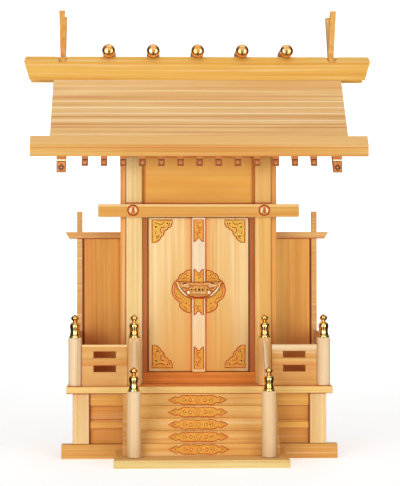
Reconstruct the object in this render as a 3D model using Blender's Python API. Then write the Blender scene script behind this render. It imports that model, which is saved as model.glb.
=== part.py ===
"""Household Shinto altar of plain cypress: one shrine with double doors, a railed veranda and stairs.

Metres, +Z up, the front faces -Y. The origin is on the floor, at the middle of the whole footprint.
Inside the altar's own frame, Y is measured from the ridge line, and X from the middle of the doors.
"""

import math

import bmesh
import bpy
from mathutils import Matrix

# Fits
TOUCH_GAP = 0.0003
DOOR_GAP = 0.0003
DOOR_HEAD_GAP = 0.0005
EDGE_BREAK = 0.0005

# Base board and foot board
BASE_WIDTH = 0.3048
BASE_HEIGHT = 0.016
BASE_FRONT = 0.080
BASE_BACK = 0.060
BASE_BAR_DEPTH = 0.0125
FOOT_WIDTH = 0.186
FOOT_EDGE = 0.0155
FOOT_HEIGHT = 0.0087

# Walls under the veranda
UNDER_HEIGHT = 0.056
CORNER_POST_SIDE = 0.018
CORNER_POST_INSET = 0.0124
CORNER_POST_SETBACK = 0.001
PANEL_THICKNESS = 0.008
PANEL_SETBACK = 0.004
PANEL_BEHIND_STAIRS = 0.014
PANEL_FIELD_DEPTH = 0.0035
PANEL_TOP_RAIL = 0.014
PANEL_MIDDLE_RAIL = 0.0075
PANEL_MIDDLE_RAIL_HEIGHT = 0.0163

# Veranda
VERANDA_INSET = 0.0058
VERANDA_THICKNESS = 0.008
VERANDA_OVERHANG = 0.005

# Stairs
STEP_COUNT = 5
STEP_GOING = 0.0115
TOP_RISER_SETBACK = 0.003
STAIR_WIDTH = 0.168
STRING_THICKNESS = 0.005
STRING_RISE = 0.0025
STRING_TOE = 0.005

# Rail posts, their finials and the railings
RAIL_POST_DIAMETER = 0.015
RAIL_POST_HEIGHT = 0.053
LOW_POST_HEIGHT = 0.0705
LOW_POST_CLEARANCE = 0.0018
OUTER_POST_INSET = 0.0091
STAIR_POST_INSET = 0.012
POST_ROW_SETBACK = 0.010
RAILING_HEIGHT = 0.0453
RAILING_THICKNESS = 0.005
RAILING_SLOT_WIDTH = 0.0249
RAILING_SLOT_HEIGHT = 0.0075
RAILING_SLOT_PITCH = 0.0155
RAILING_TOP_RAIL = 0.0073
SIDE_RAILING_THICKNESS = 0.004
SIDE_RAILING_HEIGHT = 0.057
SIDE_RAILING_CURVE = 0.040
STAIR_RAIL_THICKNESS = 0.0035
STAIR_RAIL_DEPTH = 0.020
STAIR_RAIL_DROP = 0.003
STAIR_RAIL_SLOT = 0.006

# Brass finials, from the foot up
FINIAL_FOOT_RADIUS = 0.00635
FINIAL_FOOT_HEIGHT = 0.0012
FINIAL_BELL_RADIUS = 0.00565
FINIAL_WAIST_RADIUS = 0.00525
FINIAL_WAIST_HEIGHT = 0.0085
FINIAL_SHOULDER_HEIGHT = 0.0135
FINIAL_NECK_RADIUS = 0.0025
FINIAL_NECK_HEIGHT = 0.0171
FINIAL_KNOB_RADIUS = 0.0044
FINIAL_KNOB_HEIGHT = 0.0209
FINIAL_HEIGHT = 0.0255

# Body
PILLAR_WIDTH = 0.018
PILLAR_DEPTH = 0.018
PILLAR_FRONT = 0.045
DOORWAY_HALF = 0.0635
SIDE_WALL_THICKNESS = 0.0063
SIDE_WALL_SETBACK = 0.004
BODY_BACK = 0.045
BACK_WALL_THICKNESS = 0.006
SILL_HEIGHT = 0.0123
FRAME_DEPTH = 0.010
FRAME_SETBACK = 0.003
JAMB_WIDTH = 0.0070
DOORWAY_HEIGHT = 0.1873
LINTEL_HEIGHT = 0.0144
LINTEL_DEPTH = 0.0067
LINTEL_OVERHANG = 0.0246
UPPER_PANEL_SETBACK = 0.007
UPPER_PANEL_THICKNESS = 0.005

# Doors
DOOR_THICKNESS = 0.006
DOOR_STRIP_WIDTH = 0.0147
DOOR_STRIP_THICKNESS = 0.0035
LOCK_LENGTH = 0.054
LOCK_HEIGHT = 0.020
LOCK_WAIST = 0.0188
LOCK_FULLNESS = 3.2
LOCK_THICKNESS = 0.003
LOCK_RAISE = 0.0055

# Wing screens
WING_SETBACK = 0.016
WING_POST_SIDE = 0.0062
WING_POST_HEIGHT = 0.195
WING_POST_OFFSET = 0.0012
WING_PANEL_HEIGHT = 0.1637
WING_BEAM_HEIGHT = 0.0078
WING_BEAM_PROUD = 0.002
WING_BEAM_OVERHANG = 0.0135
WING_BEAM_BEVEL = 0.0047
WING_PANEL_THICKNESS = 0.004

# Roof
ROOF_PITCH = math.radians(46.0)
BODY_HEIGHT = 0.3599
ROOF_THICKNESS = 0.009
ROOF_HALF = 0.1648
FRONT_EAVE_REACH = 0.091
BACK_EAVE_REACH = 0.062
FRONT_EAVE_OVERHANG = 0.0215
BACK_EAVE_OVERHANG = 0.0055
EAVE_STRIP_REACH = 0.010
RAFTER_COUNT = 13
RAFTER_PITCH = 0.021
RAFTER_WIDTH = 0.007
RAFTER_DEPTH = 0.008
RAFTER_SETBACK = 0.001
RAFTER_HOUSING = 0.0015
BARGEBOARD_INSET = 0.0129
BARGEBOARD_WIDTH = 0.010
BARGEBOARD_DEPTH = 0.013

# Ridge, the logs on it and the crossed boards
RIDGE_HALF_DEPTH = 0.015
RIDGE_RISE = 0.0121
RIDGE_CHAMFER_HEIGHT = 0.006
RIDGE_CHAMFER_DEPTH = 0.004
RIDGE_OVERHANG = 0.0271
RIDGE_END_SLANT = 0.0064
RIDGE_END_CHAMFER = 0.0018
RIDGE_NOTCH_DEPTH = 0.007
RIDGE_NOTCH_FLARE = 0.004
RIDGE_NOTCH_CORE = 0.006
LOG_COUNT = 5
LOG_PITCH = 0.0508
LOG_DIAMETER = 0.0145
LOG_LENGTH = 0.050
LOG_SEAT = 0.0016
CROSS_THICKNESS = 0.0063
CROSS_WIDTH = 0.009
CROSS_RISE = 0.050
CROSS_INSET = 0.0106
CROSS_LAP_RISE = 0.0005
CROSS_ANGLE = math.radians(63.0)

# Facets of the turned pieces
POST_SIDES = 20
FINIAL_SIDES = 12

# Places that follow from the sizes above
BASE_HALF = BASE_WIDTH / 2
VERANDA_HALF = BASE_HALF - VERANDA_INSET
VERANDA_UNDER = BASE_HEIGHT + UNDER_HEIGHT
VERANDA_TOP = VERANDA_UNDER + VERANDA_THICKNESS
VERANDA_FRONT = -BASE_FRONT - VERANDA_OVERHANG
TOP_RISER_Y = VERANDA_FRONT + TOP_RISER_SETBACK
STAIR_HALF = STAIR_WIDTH / 2
STAIR_TOE_Y = TOP_RISER_Y - (STEP_COUNT - 1) * STEP_GOING - STRING_TOE
RAIL_POST_RADIUS = RAIL_POST_DIAMETER / 2
OUTER_POST_X = VERANDA_HALF - OUTER_POST_INSET
STAIR_POST_X = STAIR_HALF - STAIR_POST_INSET
POST_ROW_Y = VERANDA_FRONT + POST_ROW_SETBACK
LOW_POST_Y = STAIR_TOE_Y - LOW_POST_CLEARANCE - RAIL_POST_RADIUS
FOOT_FRONT = LOW_POST_Y - RAIL_POST_RADIUS - FOOT_EDGE
RAIL_POST_FOOT = VERANDA_TOP + TOUCH_GAP
RAIL_POST_TOP = RAIL_POST_FOOT + RAIL_POST_HEIGHT
LOW_POST_FOOT = FOOT_HEIGHT + TOUCH_GAP
LOW_POST_TOP = LOW_POST_FOOT + LOW_POST_HEIGHT
RAILING_TOP = RAIL_POST_FOOT + RAILING_HEIGHT
PILLAR_OUTER = DOORWAY_HALF + PILLAR_WIDTH
BODY_HALF = PILLAR_OUTER + TOUCH_GAP + SIDE_WALL_THICKNESS
SIDE_WALL_FRONT = -PILLAR_FRONT + SIDE_WALL_SETBACK
SILL_TOP = VERANDA_TOP + TOUCH_GAP + SILL_HEIGHT
FRAME_FRONT = -PILLAR_FRONT + FRAME_SETBACK
FRAME_OUTER = DOORWAY_HALF - TOUCH_GAP
LINTEL_BOTTOM = VERANDA_TOP + DOORWAY_HEIGHT
LINTEL_TOP = LINTEL_BOTTOM + LINTEL_HEIGHT
LINTEL_HALF = BODY_HALF + LINTEL_OVERHANG
DOOR_HINGE_X = FRAME_OUTER - JAMB_WIDTH
DOOR_BOTTOM = SILL_TOP + DOOR_HEAD_GAP
DOOR_TOP = LINTEL_BOTTOM - DOOR_HEAD_GAP
LOCK_MIDDLE_HEIGHT = (DOOR_BOTTOM + DOOR_TOP) / 2 + LOCK_RAISE
WING_INNER = BODY_HALF + TOUCH_GAP
WING_POST_X = OUTER_POST_X - WING_POST_OFFSET
WING_BEAM_BOTTOM = VERANDA_TOP + WING_PANEL_HEIGHT
ROOF_PEAK = VERANDA_TOP + BODY_HEIGHT
BARGEBOARD_X = ROOF_HALF - BARGEBOARD_INSET
CROSS_X = ROOF_HALF - CROSS_INSET
RIDGE_TOP = ROOF_PEAK + RIDGE_RISE
RIDGE_CHAMFER_BOTTOM = RIDGE_TOP - RIDGE_CHAMFER_HEIGHT
CROSS_TOP = RIDGE_TOP + CROSS_RISE
CROSS_MIDDLE = RIDGE_TOP + CROSS_LAP_RISE
LOG_Z = RIDGE_TOP + LOG_DIAMETER / 2 - LOG_SEAT
RIDGE_LINE_Y = (-FOOT_FRONT - BACK_EAVE_REACH) / 2

# Colours of the new wood and of the brass
PALE_WOOD = (0.83, 0.62, 0.36)
DOOR_WOOD = (0.86, 0.60, 0.31)
ROOF_WOOD = (0.77, 0.47, 0.20)
DEEP_WOOD = (0.68, 0.30, 0.09)
RED_WOOD = (0.48, 0.15, 0.05)
BRASS = (0.80, 0.50, 0.12)

SIDES = (("left", -1), ("right", 1))


def remove_all():
    """Clear the scene of its objects."""
    for obj in list(bpy.data.objects):
        bpy.data.objects.remove(obj)


def add_frame():
    """The altar's own frame: its origin lies under the ridge line."""
    frame = bpy.data.objects.new("altar_frame", None)
    frame.location = (0, RIDGE_LINE_Y, 0)
    bpy.context.scene.collection.objects.link(frame)
    return frame


def add(name, build, place, frame, colour, metallic=0.0, roughness=0.55):
    """A named object from a bmesh, at its place in the altar's frame, with its own material."""
    mesh = bpy.data.meshes.new(name)
    bmesh.ops.recalc_face_normals(build, faces=build.faces)
    build.to_mesh(mesh)
    build.free()
    material = bpy.data.materials.new(name)
    material.use_nodes = True
    shader = material.node_tree.nodes["Principled BSDF"]
    shader.inputs["Base Color"].default_value = (*colour, 1.0)
    shader.inputs["Roughness"].default_value = roughness
    shader.inputs["Metallic"].default_value = metallic
    mesh.materials.append(material)
    obj = bpy.data.objects.new(name, mesh)
    obj.location = place
    obj.parent = frame
    bpy.context.scene.collection.objects.link(obj)
    return obj


def add_helper(name, build, place, frame):
    """A solid that only cuts or joins other solids."""
    obj = add(name, build, place, frame, PALE_WOOD)
    obj.hide_render = True
    obj.display_type = "WIRE"
    return obj


def combine(obj, helper, operation):
    """Cut the helper out of the object, or join it on."""
    modifier = obj.modifiers.new(helper.name, "BOOLEAN")
    modifier.object = helper
    modifier.operation = operation
    modifier.solver = "EXACT"


def break_edges(obj, width=EDGE_BREAK):
    """Take the sharp edges off a piece with one small chamfer."""
    modifier = obj.modifiers.new("edge_break", "BEVEL")
    modifier.width = width
    modifier.segments = 1
    modifier.limit_method = "ANGLE"
    modifier.angle_limit = math.radians(35)


def smooth(obj):
    """Shade a turned piece smooth, with its sharp rims kept."""
    obj.data.shade_smooth()
    obj.data.set_sharp_from_angle(angle=math.radians(40))


def block(low, high):
    """A rectangular block between two corners."""
    build = bmesh.new()
    bmesh.ops.create_cube(build, size=1.0)
    size = [far - near for near, far in zip(low, high)]
    middle = [(far + near) / 2 for near, far in zip(low, high)]
    bmesh.ops.scale(build, vec=size, verts=build.verts)
    bmesh.ops.translate(build, vec=middle, verts=build.verts)
    return build


def extruded(outline, axis, near, far):
    """A prism: the outline's plane is across the axis, given as the two other axes in order."""
    lift = {
        "X": lambda a, b, along: (along, a, b),
        "Y": lambda a, b, along: (a, along, b),
        "Z": lambda a, b, along: (a, b, along),
    }[axis]
    build = bmesh.new()
    rings = []
    for along in (near, far):
        rings.append([build.verts.new(lift(a, b, along)) for a, b in outline])
    build.faces.new(rings[0])
    build.faces.new(rings[1])
    for index in range(len(outline)):
        after = (index + 1) % len(outline)
        build.faces.new((rings[0][index], rings[0][after], rings[1][after], rings[1][index]))
    return build


def turned(profile, sides):
    """A solid of revolution about Z from (radius, height) pairs, foot to top, closed at both ends."""
    build = bmesh.new()
    rings = []
    for radius, height in profile:
        if radius == 0:
            rings.append([build.verts.new((0, 0, height))])
            continue
        angles = [2 * math.pi * side / sides for side in range(sides)]
        circle = [(radius * math.cos(angle), radius * math.sin(angle), height) for angle in angles]
        rings.append([build.verts.new(point) for point in circle])
    if len(rings[0]) > 1:
        build.faces.new(rings[0])
    if len(rings[-1]) > 1:
        build.faces.new(rings[-1])
    for lower, upper in zip(rings, rings[1:]):
        for side in range(sides):
            after = (side + 1) % sides
            corners = [lower[side % len(lower)], lower[after % len(lower)]]
            corners += [upper[after % len(upper)], upper[side % len(upper)]]
            build.faces.new(list(dict.fromkeys(corners)))
    return build


def merged(first, second):
    """Two bmeshes as one, each still a body of its own."""
    mesh = bpy.data.meshes.new("merged")
    second.to_mesh(mesh)
    second.free()
    first.from_mesh(mesh)
    bpy.data.meshes.remove(mesh)
    return first


def spaced(count, pitch):
    """Places along a row, symmetric about its middle."""
    return [(index - (count - 1) / 2) * pitch for index in range(count)]


def roof_height(y, depth=0.0):
    """Height of the roof's top plane at y, or of the plane at a depth under it."""
    return ROOF_PEAK - abs(y) * math.tan(ROOF_PITCH) - depth / math.cos(ROOF_PITCH)


def under_roof(y):
    """Height of what stands under the roof boards without touching them."""
    return roof_height(y, ROOF_THICKNESS + TOUCH_GAP)


def build_base(frame):
    """Base board, foot board and the walls under the veranda."""
    foot_back = -BASE_FRONT - TOUCH_GAP
    post_outer = BASE_HALF - CORNER_POST_INSET
    bar_back = -BASE_FRONT + BASE_BAR_DEPTH
    outline = [
        (-BASE_HALF, -BASE_FRONT),
        (BASE_HALF, -BASE_FRONT),
        (BASE_HALF, bar_back),
        (post_outer, bar_back),
        (post_outer, BASE_BACK),
        (-post_outer, BASE_BACK),
        (-post_outer, bar_back),
        (-BASE_HALF, bar_back),
    ]
    board = extruded(outline, "Z", 0, BASE_HEIGHT)
    break_edges(add("base_board", board, (0, 0, 0), frame, PALE_WOOD))
    foot = block((-FOOT_WIDTH / 2, FOOT_FRONT, 0), (FOOT_WIDTH / 2, foot_back, FOOT_HEIGHT))
    break_edges(add("foot_board", foot, (0, 0, 0), frame, PALE_WOOD))

    low = BASE_HEIGHT + TOUCH_GAP
    high = VERANDA_UNDER - TOUCH_GAP
    post_inner = post_outer - CORNER_POST_SIDE
    post_front = -BASE_FRONT + CORNER_POST_SETBACK
    back_inner = BASE_BACK - PANEL_SETBACK - PANEL_THICKNESS
    for side, sign in SIDES:
        post = block(
            (-CORNER_POST_SIDE / 2, -CORNER_POST_SIDE / 2, low),
            (CORNER_POST_SIDE / 2, CORNER_POST_SIDE / 2, high),
        )
        middle = (post_outer + post_inner) / 2
        place = (sign * middle, post_front + CORNER_POST_SIDE / 2, 0)
        break_edges(add(f"base_post_{side}", post, place, frame, PALE_WOOD))
        build_front_panel(frame, side, sign, post_inner - TOUCH_GAP, post_front + PANEL_SETBACK)

        wall_outer = post_outer - PANEL_SETBACK
        wall = block(
            (-PANEL_THICKNESS / 2, post_front + CORNER_POST_SIDE + TOUCH_GAP, low),
            (PANEL_THICKNESS / 2, back_inner - TOUCH_GAP, high),
        )
        place = (sign * (wall_outer - PANEL_THICKNESS / 2), 0, 0)
        break_edges(add(f"base_side_panel_{side}", wall, place, frame, PALE_WOOD))
    back = block((-post_outer, back_inner, low), (post_outer, back_inner + PANEL_THICKNESS, high))
    break_edges(add("base_back_board", back, (0, 0, 0), frame, PALE_WOOD))

    floor = block(
        (-VERANDA_HALF, VERANDA_FRONT, VERANDA_UNDER),
        (VERANDA_HALF, BASE_BACK, VERANDA_TOP),
    )
    break_edges(add("veranda_floor", floor, (0, 0, 0), frame, PALE_WOOD))


def build_front_panel(frame, side, sign, outer, front):
    """A board between corner post and stairs, with two fields sunk between its rails."""
    back = front + PANEL_THICKNESS
    field = front + PANEL_FIELD_DEPTH
    low = BASE_HEIGHT + TOUCH_GAP
    high = VERANDA_UNDER - TOUCH_GAP
    rail_low = BASE_HEIGHT + PANEL_MIDDLE_RAIL_HEIGHT
    rail_high = rail_low + PANEL_MIDDLE_RAIL
    outline = [
        (back, low),
        (back, high),
        (front, high),
        (front, VERANDA_UNDER - PANEL_TOP_RAIL),
        (field, VERANDA_UNDER - PANEL_TOP_RAIL),
        (field, rail_high),
        (front, rail_high),
        (front, rail_low),
        (field, rail_low),
        (field, low),
    ]
    inner = STAIR_HALF - PANEL_BEHIND_STAIRS
    half = (outer - inner) / 2
    panel = extruded(outline, "X", -half, half)
    add(f"base_front_panel_{side}", panel, (sign * (inner + half), 0, 0), frame, PALE_WOOD)


def build_stairs(frame):
    """Five steps between two side strings, standing on the foot board."""
    low = FOOT_HEIGHT + TOUCH_GAP
    high = VERANDA_UNDER - TOUCH_GAP
    rise = (high - low) / STEP_COUNT
    back = -BASE_FRONT - TOUCH_GAP
    outline = [(back, low), (back, high)]
    for step in range(STEP_COUNT):
        y = TOP_RISER_Y - step * STEP_GOING
        outline += [(y, high - step * rise), (y, high - (step + 1) * rise)]
    half = STAIR_HALF
    steps = add("staircase", extruded(outline, "X", -half, half), (0, 0, 0), frame, PALE_WOOD)

    slope = math.atan2(rise, STEP_GOING)
    reach = STRING_RISE / math.sin(slope)
    string_top = TOP_RISER_Y - reach
    toe_height = high - (string_top - STAIR_TOE_Y) * math.tan(slope)
    string_outline = [
        (back, low),
        (back, high),
        (string_top, high),
        (STAIR_TOE_Y, toe_height),
        (STAIR_TOE_Y, low),
    ]
    strings = extruded(string_outline, "X", half - STRING_THICKNESS, half)
    strings = merged(strings, extruded(string_outline, "X", -half, -half + STRING_THICKNESS))
    combine(steps, add_helper("stair_strings", strings, (0, 0, 0), frame), "UNION")


def finial_profile():
    """Onion knob on a neck, over a bell with a waist and a flared foot, as (radius, height) pairs."""
    profile = [(FINIAL_FOOT_RADIUS, 0), (FINIAL_FOOT_RADIUS, FINIAL_FOOT_HEIGHT)]
    profile.append((FINIAL_BELL_RADIUS, 2 * FINIAL_FOOT_HEIGHT))
    profile.append((FINIAL_WAIST_RADIUS, FINIAL_WAIST_HEIGHT))
    profile.append((FINIAL_BELL_RADIUS, FINIAL_SHOULDER_HEIGHT))
    shoulder_rise = FINIAL_NECK_HEIGHT - FINIAL_SHOULDER_HEIGHT
    shoulder_reach = FINIAL_BELL_RADIUS - FINIAL_NECK_RADIUS
    for share in (1 / 3, 2 / 3, 1):
        angle = share * math.pi / 2
        radius = FINIAL_NECK_RADIUS + shoulder_reach * math.cos(angle)
        profile.append((radius, FINIAL_SHOULDER_HEIGHT + shoulder_rise * math.sin(angle)))
    swell = FINIAL_KNOB_RADIUS - FINIAL_NECK_RADIUS
    for share in (1 / 3, 2 / 3, 1):
        angle = share * math.pi / 2
        height = FINIAL_KNOB_HEIGHT - (FINIAL_KNOB_HEIGHT - FINIAL_NECK_HEIGHT) * math.cos(angle)
        profile.append((FINIAL_NECK_RADIUS + swell * math.sin(angle), height))
    for share in (1 / 3, 2 / 3, 1):
        radius = FINIAL_KNOB_RADIUS * (1 + math.cos(share * math.pi)) / 2
        if share == 1:
            radius = 0
        profile.append((radius, FINIAL_KNOB_HEIGHT + (FINIAL_HEIGHT - FINIAL_KNOB_HEIGHT) * share))
    return profile


def build_rail_posts(frame):
    """Six round posts, each under a brass finial."""
    rows = (
        ("outer", OUTER_POST_X, POST_ROW_Y, RAIL_POST_FOOT, RAIL_POST_TOP),
        ("upper", STAIR_POST_X, POST_ROW_Y, RAIL_POST_FOOT, RAIL_POST_TOP),
        ("lower", STAIR_POST_X, LOW_POST_Y, LOW_POST_FOOT, LOW_POST_TOP),
    )
    for row, x, y, foot, top in rows:
        for side, sign in SIDES:
            profile = [
                (RAIL_POST_RADIUS, 0),
                (RAIL_POST_RADIUS, top - foot - EDGE_BREAK),
                (RAIL_POST_RADIUS - EDGE_BREAK, top - foot),
            ]
            name = f"rail_post_{row}_{side}"
            smooth(add(name, turned(profile, POST_SIDES), (sign * x, y, foot), frame, PALE_WOOD))
            finial = turned(finial_profile(), FINIAL_SIDES)
            place = (sign * x, y, top + TOUCH_GAP)
            smooth(add(f"finial_{row}_{side}", finial, place, frame, BRASS, metallic=1.0, roughness=0.2))


def build_railings(frame):
    """Slotted boards in front, curved boards at the sides and sloping rails down the stairs."""
    inner = STAIR_POST_X + RAIL_POST_RADIUS + TOUCH_GAP
    outer = OUTER_POST_X - RAIL_POST_RADIUS - TOUCH_GAP
    half = (outer - inner) / 2
    slot_top = RAILING_TOP - RAILING_TOP_RAIL
    for side, sign in SIDES:
        board = block(
            (-half, -RAILING_THICKNESS / 2, RAIL_POST_FOOT),
            (half, RAILING_THICKNESS / 2, RAILING_TOP),
        )
        place = (sign * (inner + half), POST_ROW_Y, 0)
        railing = add(f"front_railing_{side}", board, place, frame, PALE_WOOD)
        slots = None
        for row in range(2):
            top = slot_top - row * RAILING_SLOT_PITCH
            slot = block(
                (-RAILING_SLOT_WIDTH / 2, -RAILING_THICKNESS, top - RAILING_SLOT_HEIGHT),
                (RAILING_SLOT_WIDTH / 2, RAILING_THICKNESS, top),
            )
            slots = merged(slots, slot) if slots else slot
        combine(railing, add_helper(f"front_railing_slots_{side}", slots, place, frame), "DIFFERENCE")
        build_side_railing(frame, side, sign)
        build_stair_rail(frame, side, sign)


def build_side_railing(frame, side, sign):
    """From the outer post back to the wing screen, its top falling in a curve to the front."""
    front = POST_ROW_Y + RAIL_POST_RADIUS + TOUCH_GAP
    back = WING_SETBACK - TOUCH_GAP
    top = RAIL_POST_FOOT + SIDE_RAILING_HEIGHT
    outline = [(front, RAIL_POST_FOOT), (back, RAIL_POST_FOOT), (back, top)]
    curve_steps = 6
    for step in range(curve_steps + 1):
        angle = step / curve_steps * math.pi / 2
        y = front + SIDE_RAILING_CURVE * (1 - math.sin(angle))
        outline.append((y, RAILING_TOP + (top - RAILING_TOP) * math.cos(angle)))
    half = SIDE_RAILING_THICKNESS / 2
    board = extruded(outline, "X", -half, half)
    add(f"side_railing_{side}", board, (sign * OUTER_POST_X, 0, 0), frame, PALE_WOOD)


def build_stair_rail(frame, side, sign):
    """A sloping board from the upper post to the lower one, with a slot along it."""
    upper = POST_ROW_Y - RAIL_POST_RADIUS - TOUCH_GAP
    lower = LOW_POST_Y + RAIL_POST_RADIUS + TOUCH_GAP
    upper_top = RAIL_POST_TOP - STAIR_RAIL_DROP
    lower_top = LOW_POST_TOP - STAIR_RAIL_DROP
    outline = [
        (upper, upper_top),
        (lower, lower_top),
        (lower, lower_top - STAIR_RAIL_DEPTH),
        (upper, upper_top - STAIR_RAIL_DEPTH),
    ]
    half = STAIR_RAIL_THICKNESS / 2
    place = (sign * STAIR_POST_X, 0, 0)
    rail = add(f"stair_rail_{side}", extruded(outline, "X", -half, half), place, frame, PALE_WOOD)

    edge = (STAIR_RAIL_DEPTH - STAIR_RAIL_SLOT) / 2
    fall = (upper_top - lower_top) / (upper - lower)
    near = lower + edge
    far = upper - edge
    near_top = lower_top + (near - lower) * fall - edge
    far_top = lower_top + (far - lower) * fall - edge
    opening = [
        (far, far_top),
        (near, near_top),
        (near, near_top - STAIR_RAIL_SLOT),
        (far, far_top - STAIR_RAIL_SLOT),
    ]
    slot = extruded(opening, "X", -STAIR_RAIL_THICKNESS, STAIR_RAIL_THICKNESS)
    combine(rail, add_helper(f"stair_rail_slot_{side}", slot, place, frame), "DIFFERENCE")


def build_body(frame):
    """Pillars, side walls, back wall, doorway, lintel and the panel over it."""
    low = VERANDA_TOP + TOUCH_GAP
    pillar_back = -PILLAR_FRONT + PILLAR_DEPTH
    for side, sign in SIDES:
        outline = [
            (-PILLAR_FRONT, low),
            (pillar_back, low),
            (pillar_back, under_roof(pillar_back)),
            (-PILLAR_FRONT, under_roof(PILLAR_FRONT)),
        ]
        pillar = extruded(outline, "X", -PILLAR_WIDTH / 2, PILLAR_WIDTH / 2)
        place = (sign * (DOORWAY_HALF + PILLAR_WIDTH / 2), 0, 0)
        break_edges(add(f"pillar_{side}", pillar, place, frame, PALE_WOOD))

        gable = [
            (SIDE_WALL_FRONT, low),
            (BODY_BACK, low),
            (BODY_BACK, under_roof(BODY_BACK)),
            (0, under_roof(0)),
            (SIDE_WALL_FRONT, under_roof(SIDE_WALL_FRONT)),
        ]
        half = SIDE_WALL_THICKNESS / 2
        place = (sign * (BODY_HALF - half), 0, 0)
        break_edges(add(f"side_wall_{side}", extruded(gable, "X", -half, half), place, frame, ROOF_WOOD))

    back_inner = BODY_BACK - BACK_WALL_THICKNESS
    outline = [
        (back_inner, low),
        (BODY_BACK, low),
        (BODY_BACK, under_roof(BODY_BACK)),
        (back_inner, under_roof(back_inner)),
    ]
    back = extruded(outline, "X", -PILLAR_OUTER, PILLAR_OUTER)
    add("back_wall", back, (0, 0, 0), frame, ROOF_WOOD)

    build_doorway(frame, low)
    lintel_back = -PILLAR_FRONT - TOUCH_GAP
    lintel = block(
        (-LINTEL_HALF, lintel_back - LINTEL_DEPTH, LINTEL_BOTTOM),
        (LINTEL_HALF, lintel_back, LINTEL_TOP),
    )
    break_edges(add("lintel", lintel, (0, 0, 0), frame, PALE_WOOD))


def build_doorway(frame, low):
    """Sill, frame and the panel over the frame, between the pillars."""
    sill = block(
        (-FRAME_OUTER, FRAME_FRONT, low),
        (FRAME_OUTER, FRAME_FRONT + FRAME_DEPTH, SILL_TOP),
    )
    add("door_sill", sill, (0, 0, 0), frame, DEEP_WOOD)

    jamb_inner = DOOR_HINGE_X + DOOR_GAP
    jamb_low = SILL_TOP + TOUCH_GAP
    outline = [
        (-FRAME_OUTER, jamb_low),
        (-jamb_inner, jamb_low),
        (-jamb_inner, LINTEL_BOTTOM),
        (jamb_inner, LINTEL_BOTTOM),
        (jamb_inner, jamb_low),
        (FRAME_OUTER, jamb_low),
        (FRAME_OUTER, LINTEL_TOP),
        (-FRAME_OUTER, LINTEL_TOP),
    ]
    surround = extruded(outline, "Y", FRAME_FRONT, FRAME_FRONT + FRAME_DEPTH)
    add("door_frame", surround, (0, 0, 0), frame, RED_WOOD)

    panel_front = -PILLAR_FRONT + UPPER_PANEL_SETBACK
    panel_back = panel_front + UPPER_PANEL_THICKNESS
    panel_low = LINTEL_TOP + TOUCH_GAP
    outline = [
        (panel_front, panel_low),
        (panel_back, panel_low),
        (panel_back, under_roof(panel_back)),
        (panel_front, under_roof(panel_front)),
    ]
    add("upper_panel", extruded(outline, "X", -FRAME_OUTER, FRAME_OUTER), (0, 0, 0), frame, DEEP_WOOD)


def lock_outline():
    """The lock bar: a boat with a full keel and a slightly hollow deck, both ends pointing up."""
    outline = []
    arc_steps = 12
    half = LOCK_LENGTH / 2
    for step in range(arc_steps + 1):
        across = -1 + 2 * step / arc_steps
        keel = -LOCK_HEIGHT / 2 + LOCK_HEIGHT * abs(across) ** LOCK_FULLNESS
        outline.append((across * half, keel))
    for step in range(1, arc_steps):
        across = 1 - 2 * step / arc_steps
        deck = -LOCK_HEIGHT / 2 + LOCK_WAIST + (LOCK_HEIGHT - LOCK_WAIST) * across**2
        outline.append((across * half, deck))
    return outline


def build_doors(frame):
    """Two leaves hinged at their outer front edges, with the strip and the lock on the right one.

    Each leaf is only as wide as lets its back corner swing past the other leaf.
    """
    width = math.sqrt(DOOR_HINGE_X**2 - DOOR_THICKNESS**2) - DOOR_GAP / 2
    for side, sign in SIDES:
        leaf = block(
            (min(0, -sign * width), 0, DOOR_BOTTOM),
            (max(0, -sign * width), DOOR_THICKNESS, DOOR_TOP),
        )
        place = (sign * DOOR_HINGE_X, FRAME_FRONT, 0)
        break_edges(add(f"door_{side}", leaf, place, frame, DOOR_WOOD))

    hinge = (DOOR_HINGE_X, FRAME_FRONT, 0)
    strip = block(
        (-DOOR_HINGE_X - DOOR_STRIP_WIDTH / 2, -TOUCH_GAP - DOOR_STRIP_THICKNESS, DOOR_BOTTOM),
        (-DOOR_HINGE_X + DOOR_STRIP_WIDTH / 2, -TOUCH_GAP, DOOR_TOP),
    )
    break_edges(add("door_strip", strip, hinge, frame, PALE_WOOD))

    lock_back = -DOOR_STRIP_THICKNESS - 2 * TOUCH_GAP
    bar = [(x - DOOR_HINGE_X, z + LOCK_MIDDLE_HEIGHT) for x, z in lock_outline()]
    lock = extruded(bar, "Y", lock_back - LOCK_THICKNESS, lock_back)
    add("door_lock", lock, hinge, frame, BRASS, metallic=1.0, roughness=0.25)


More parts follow.
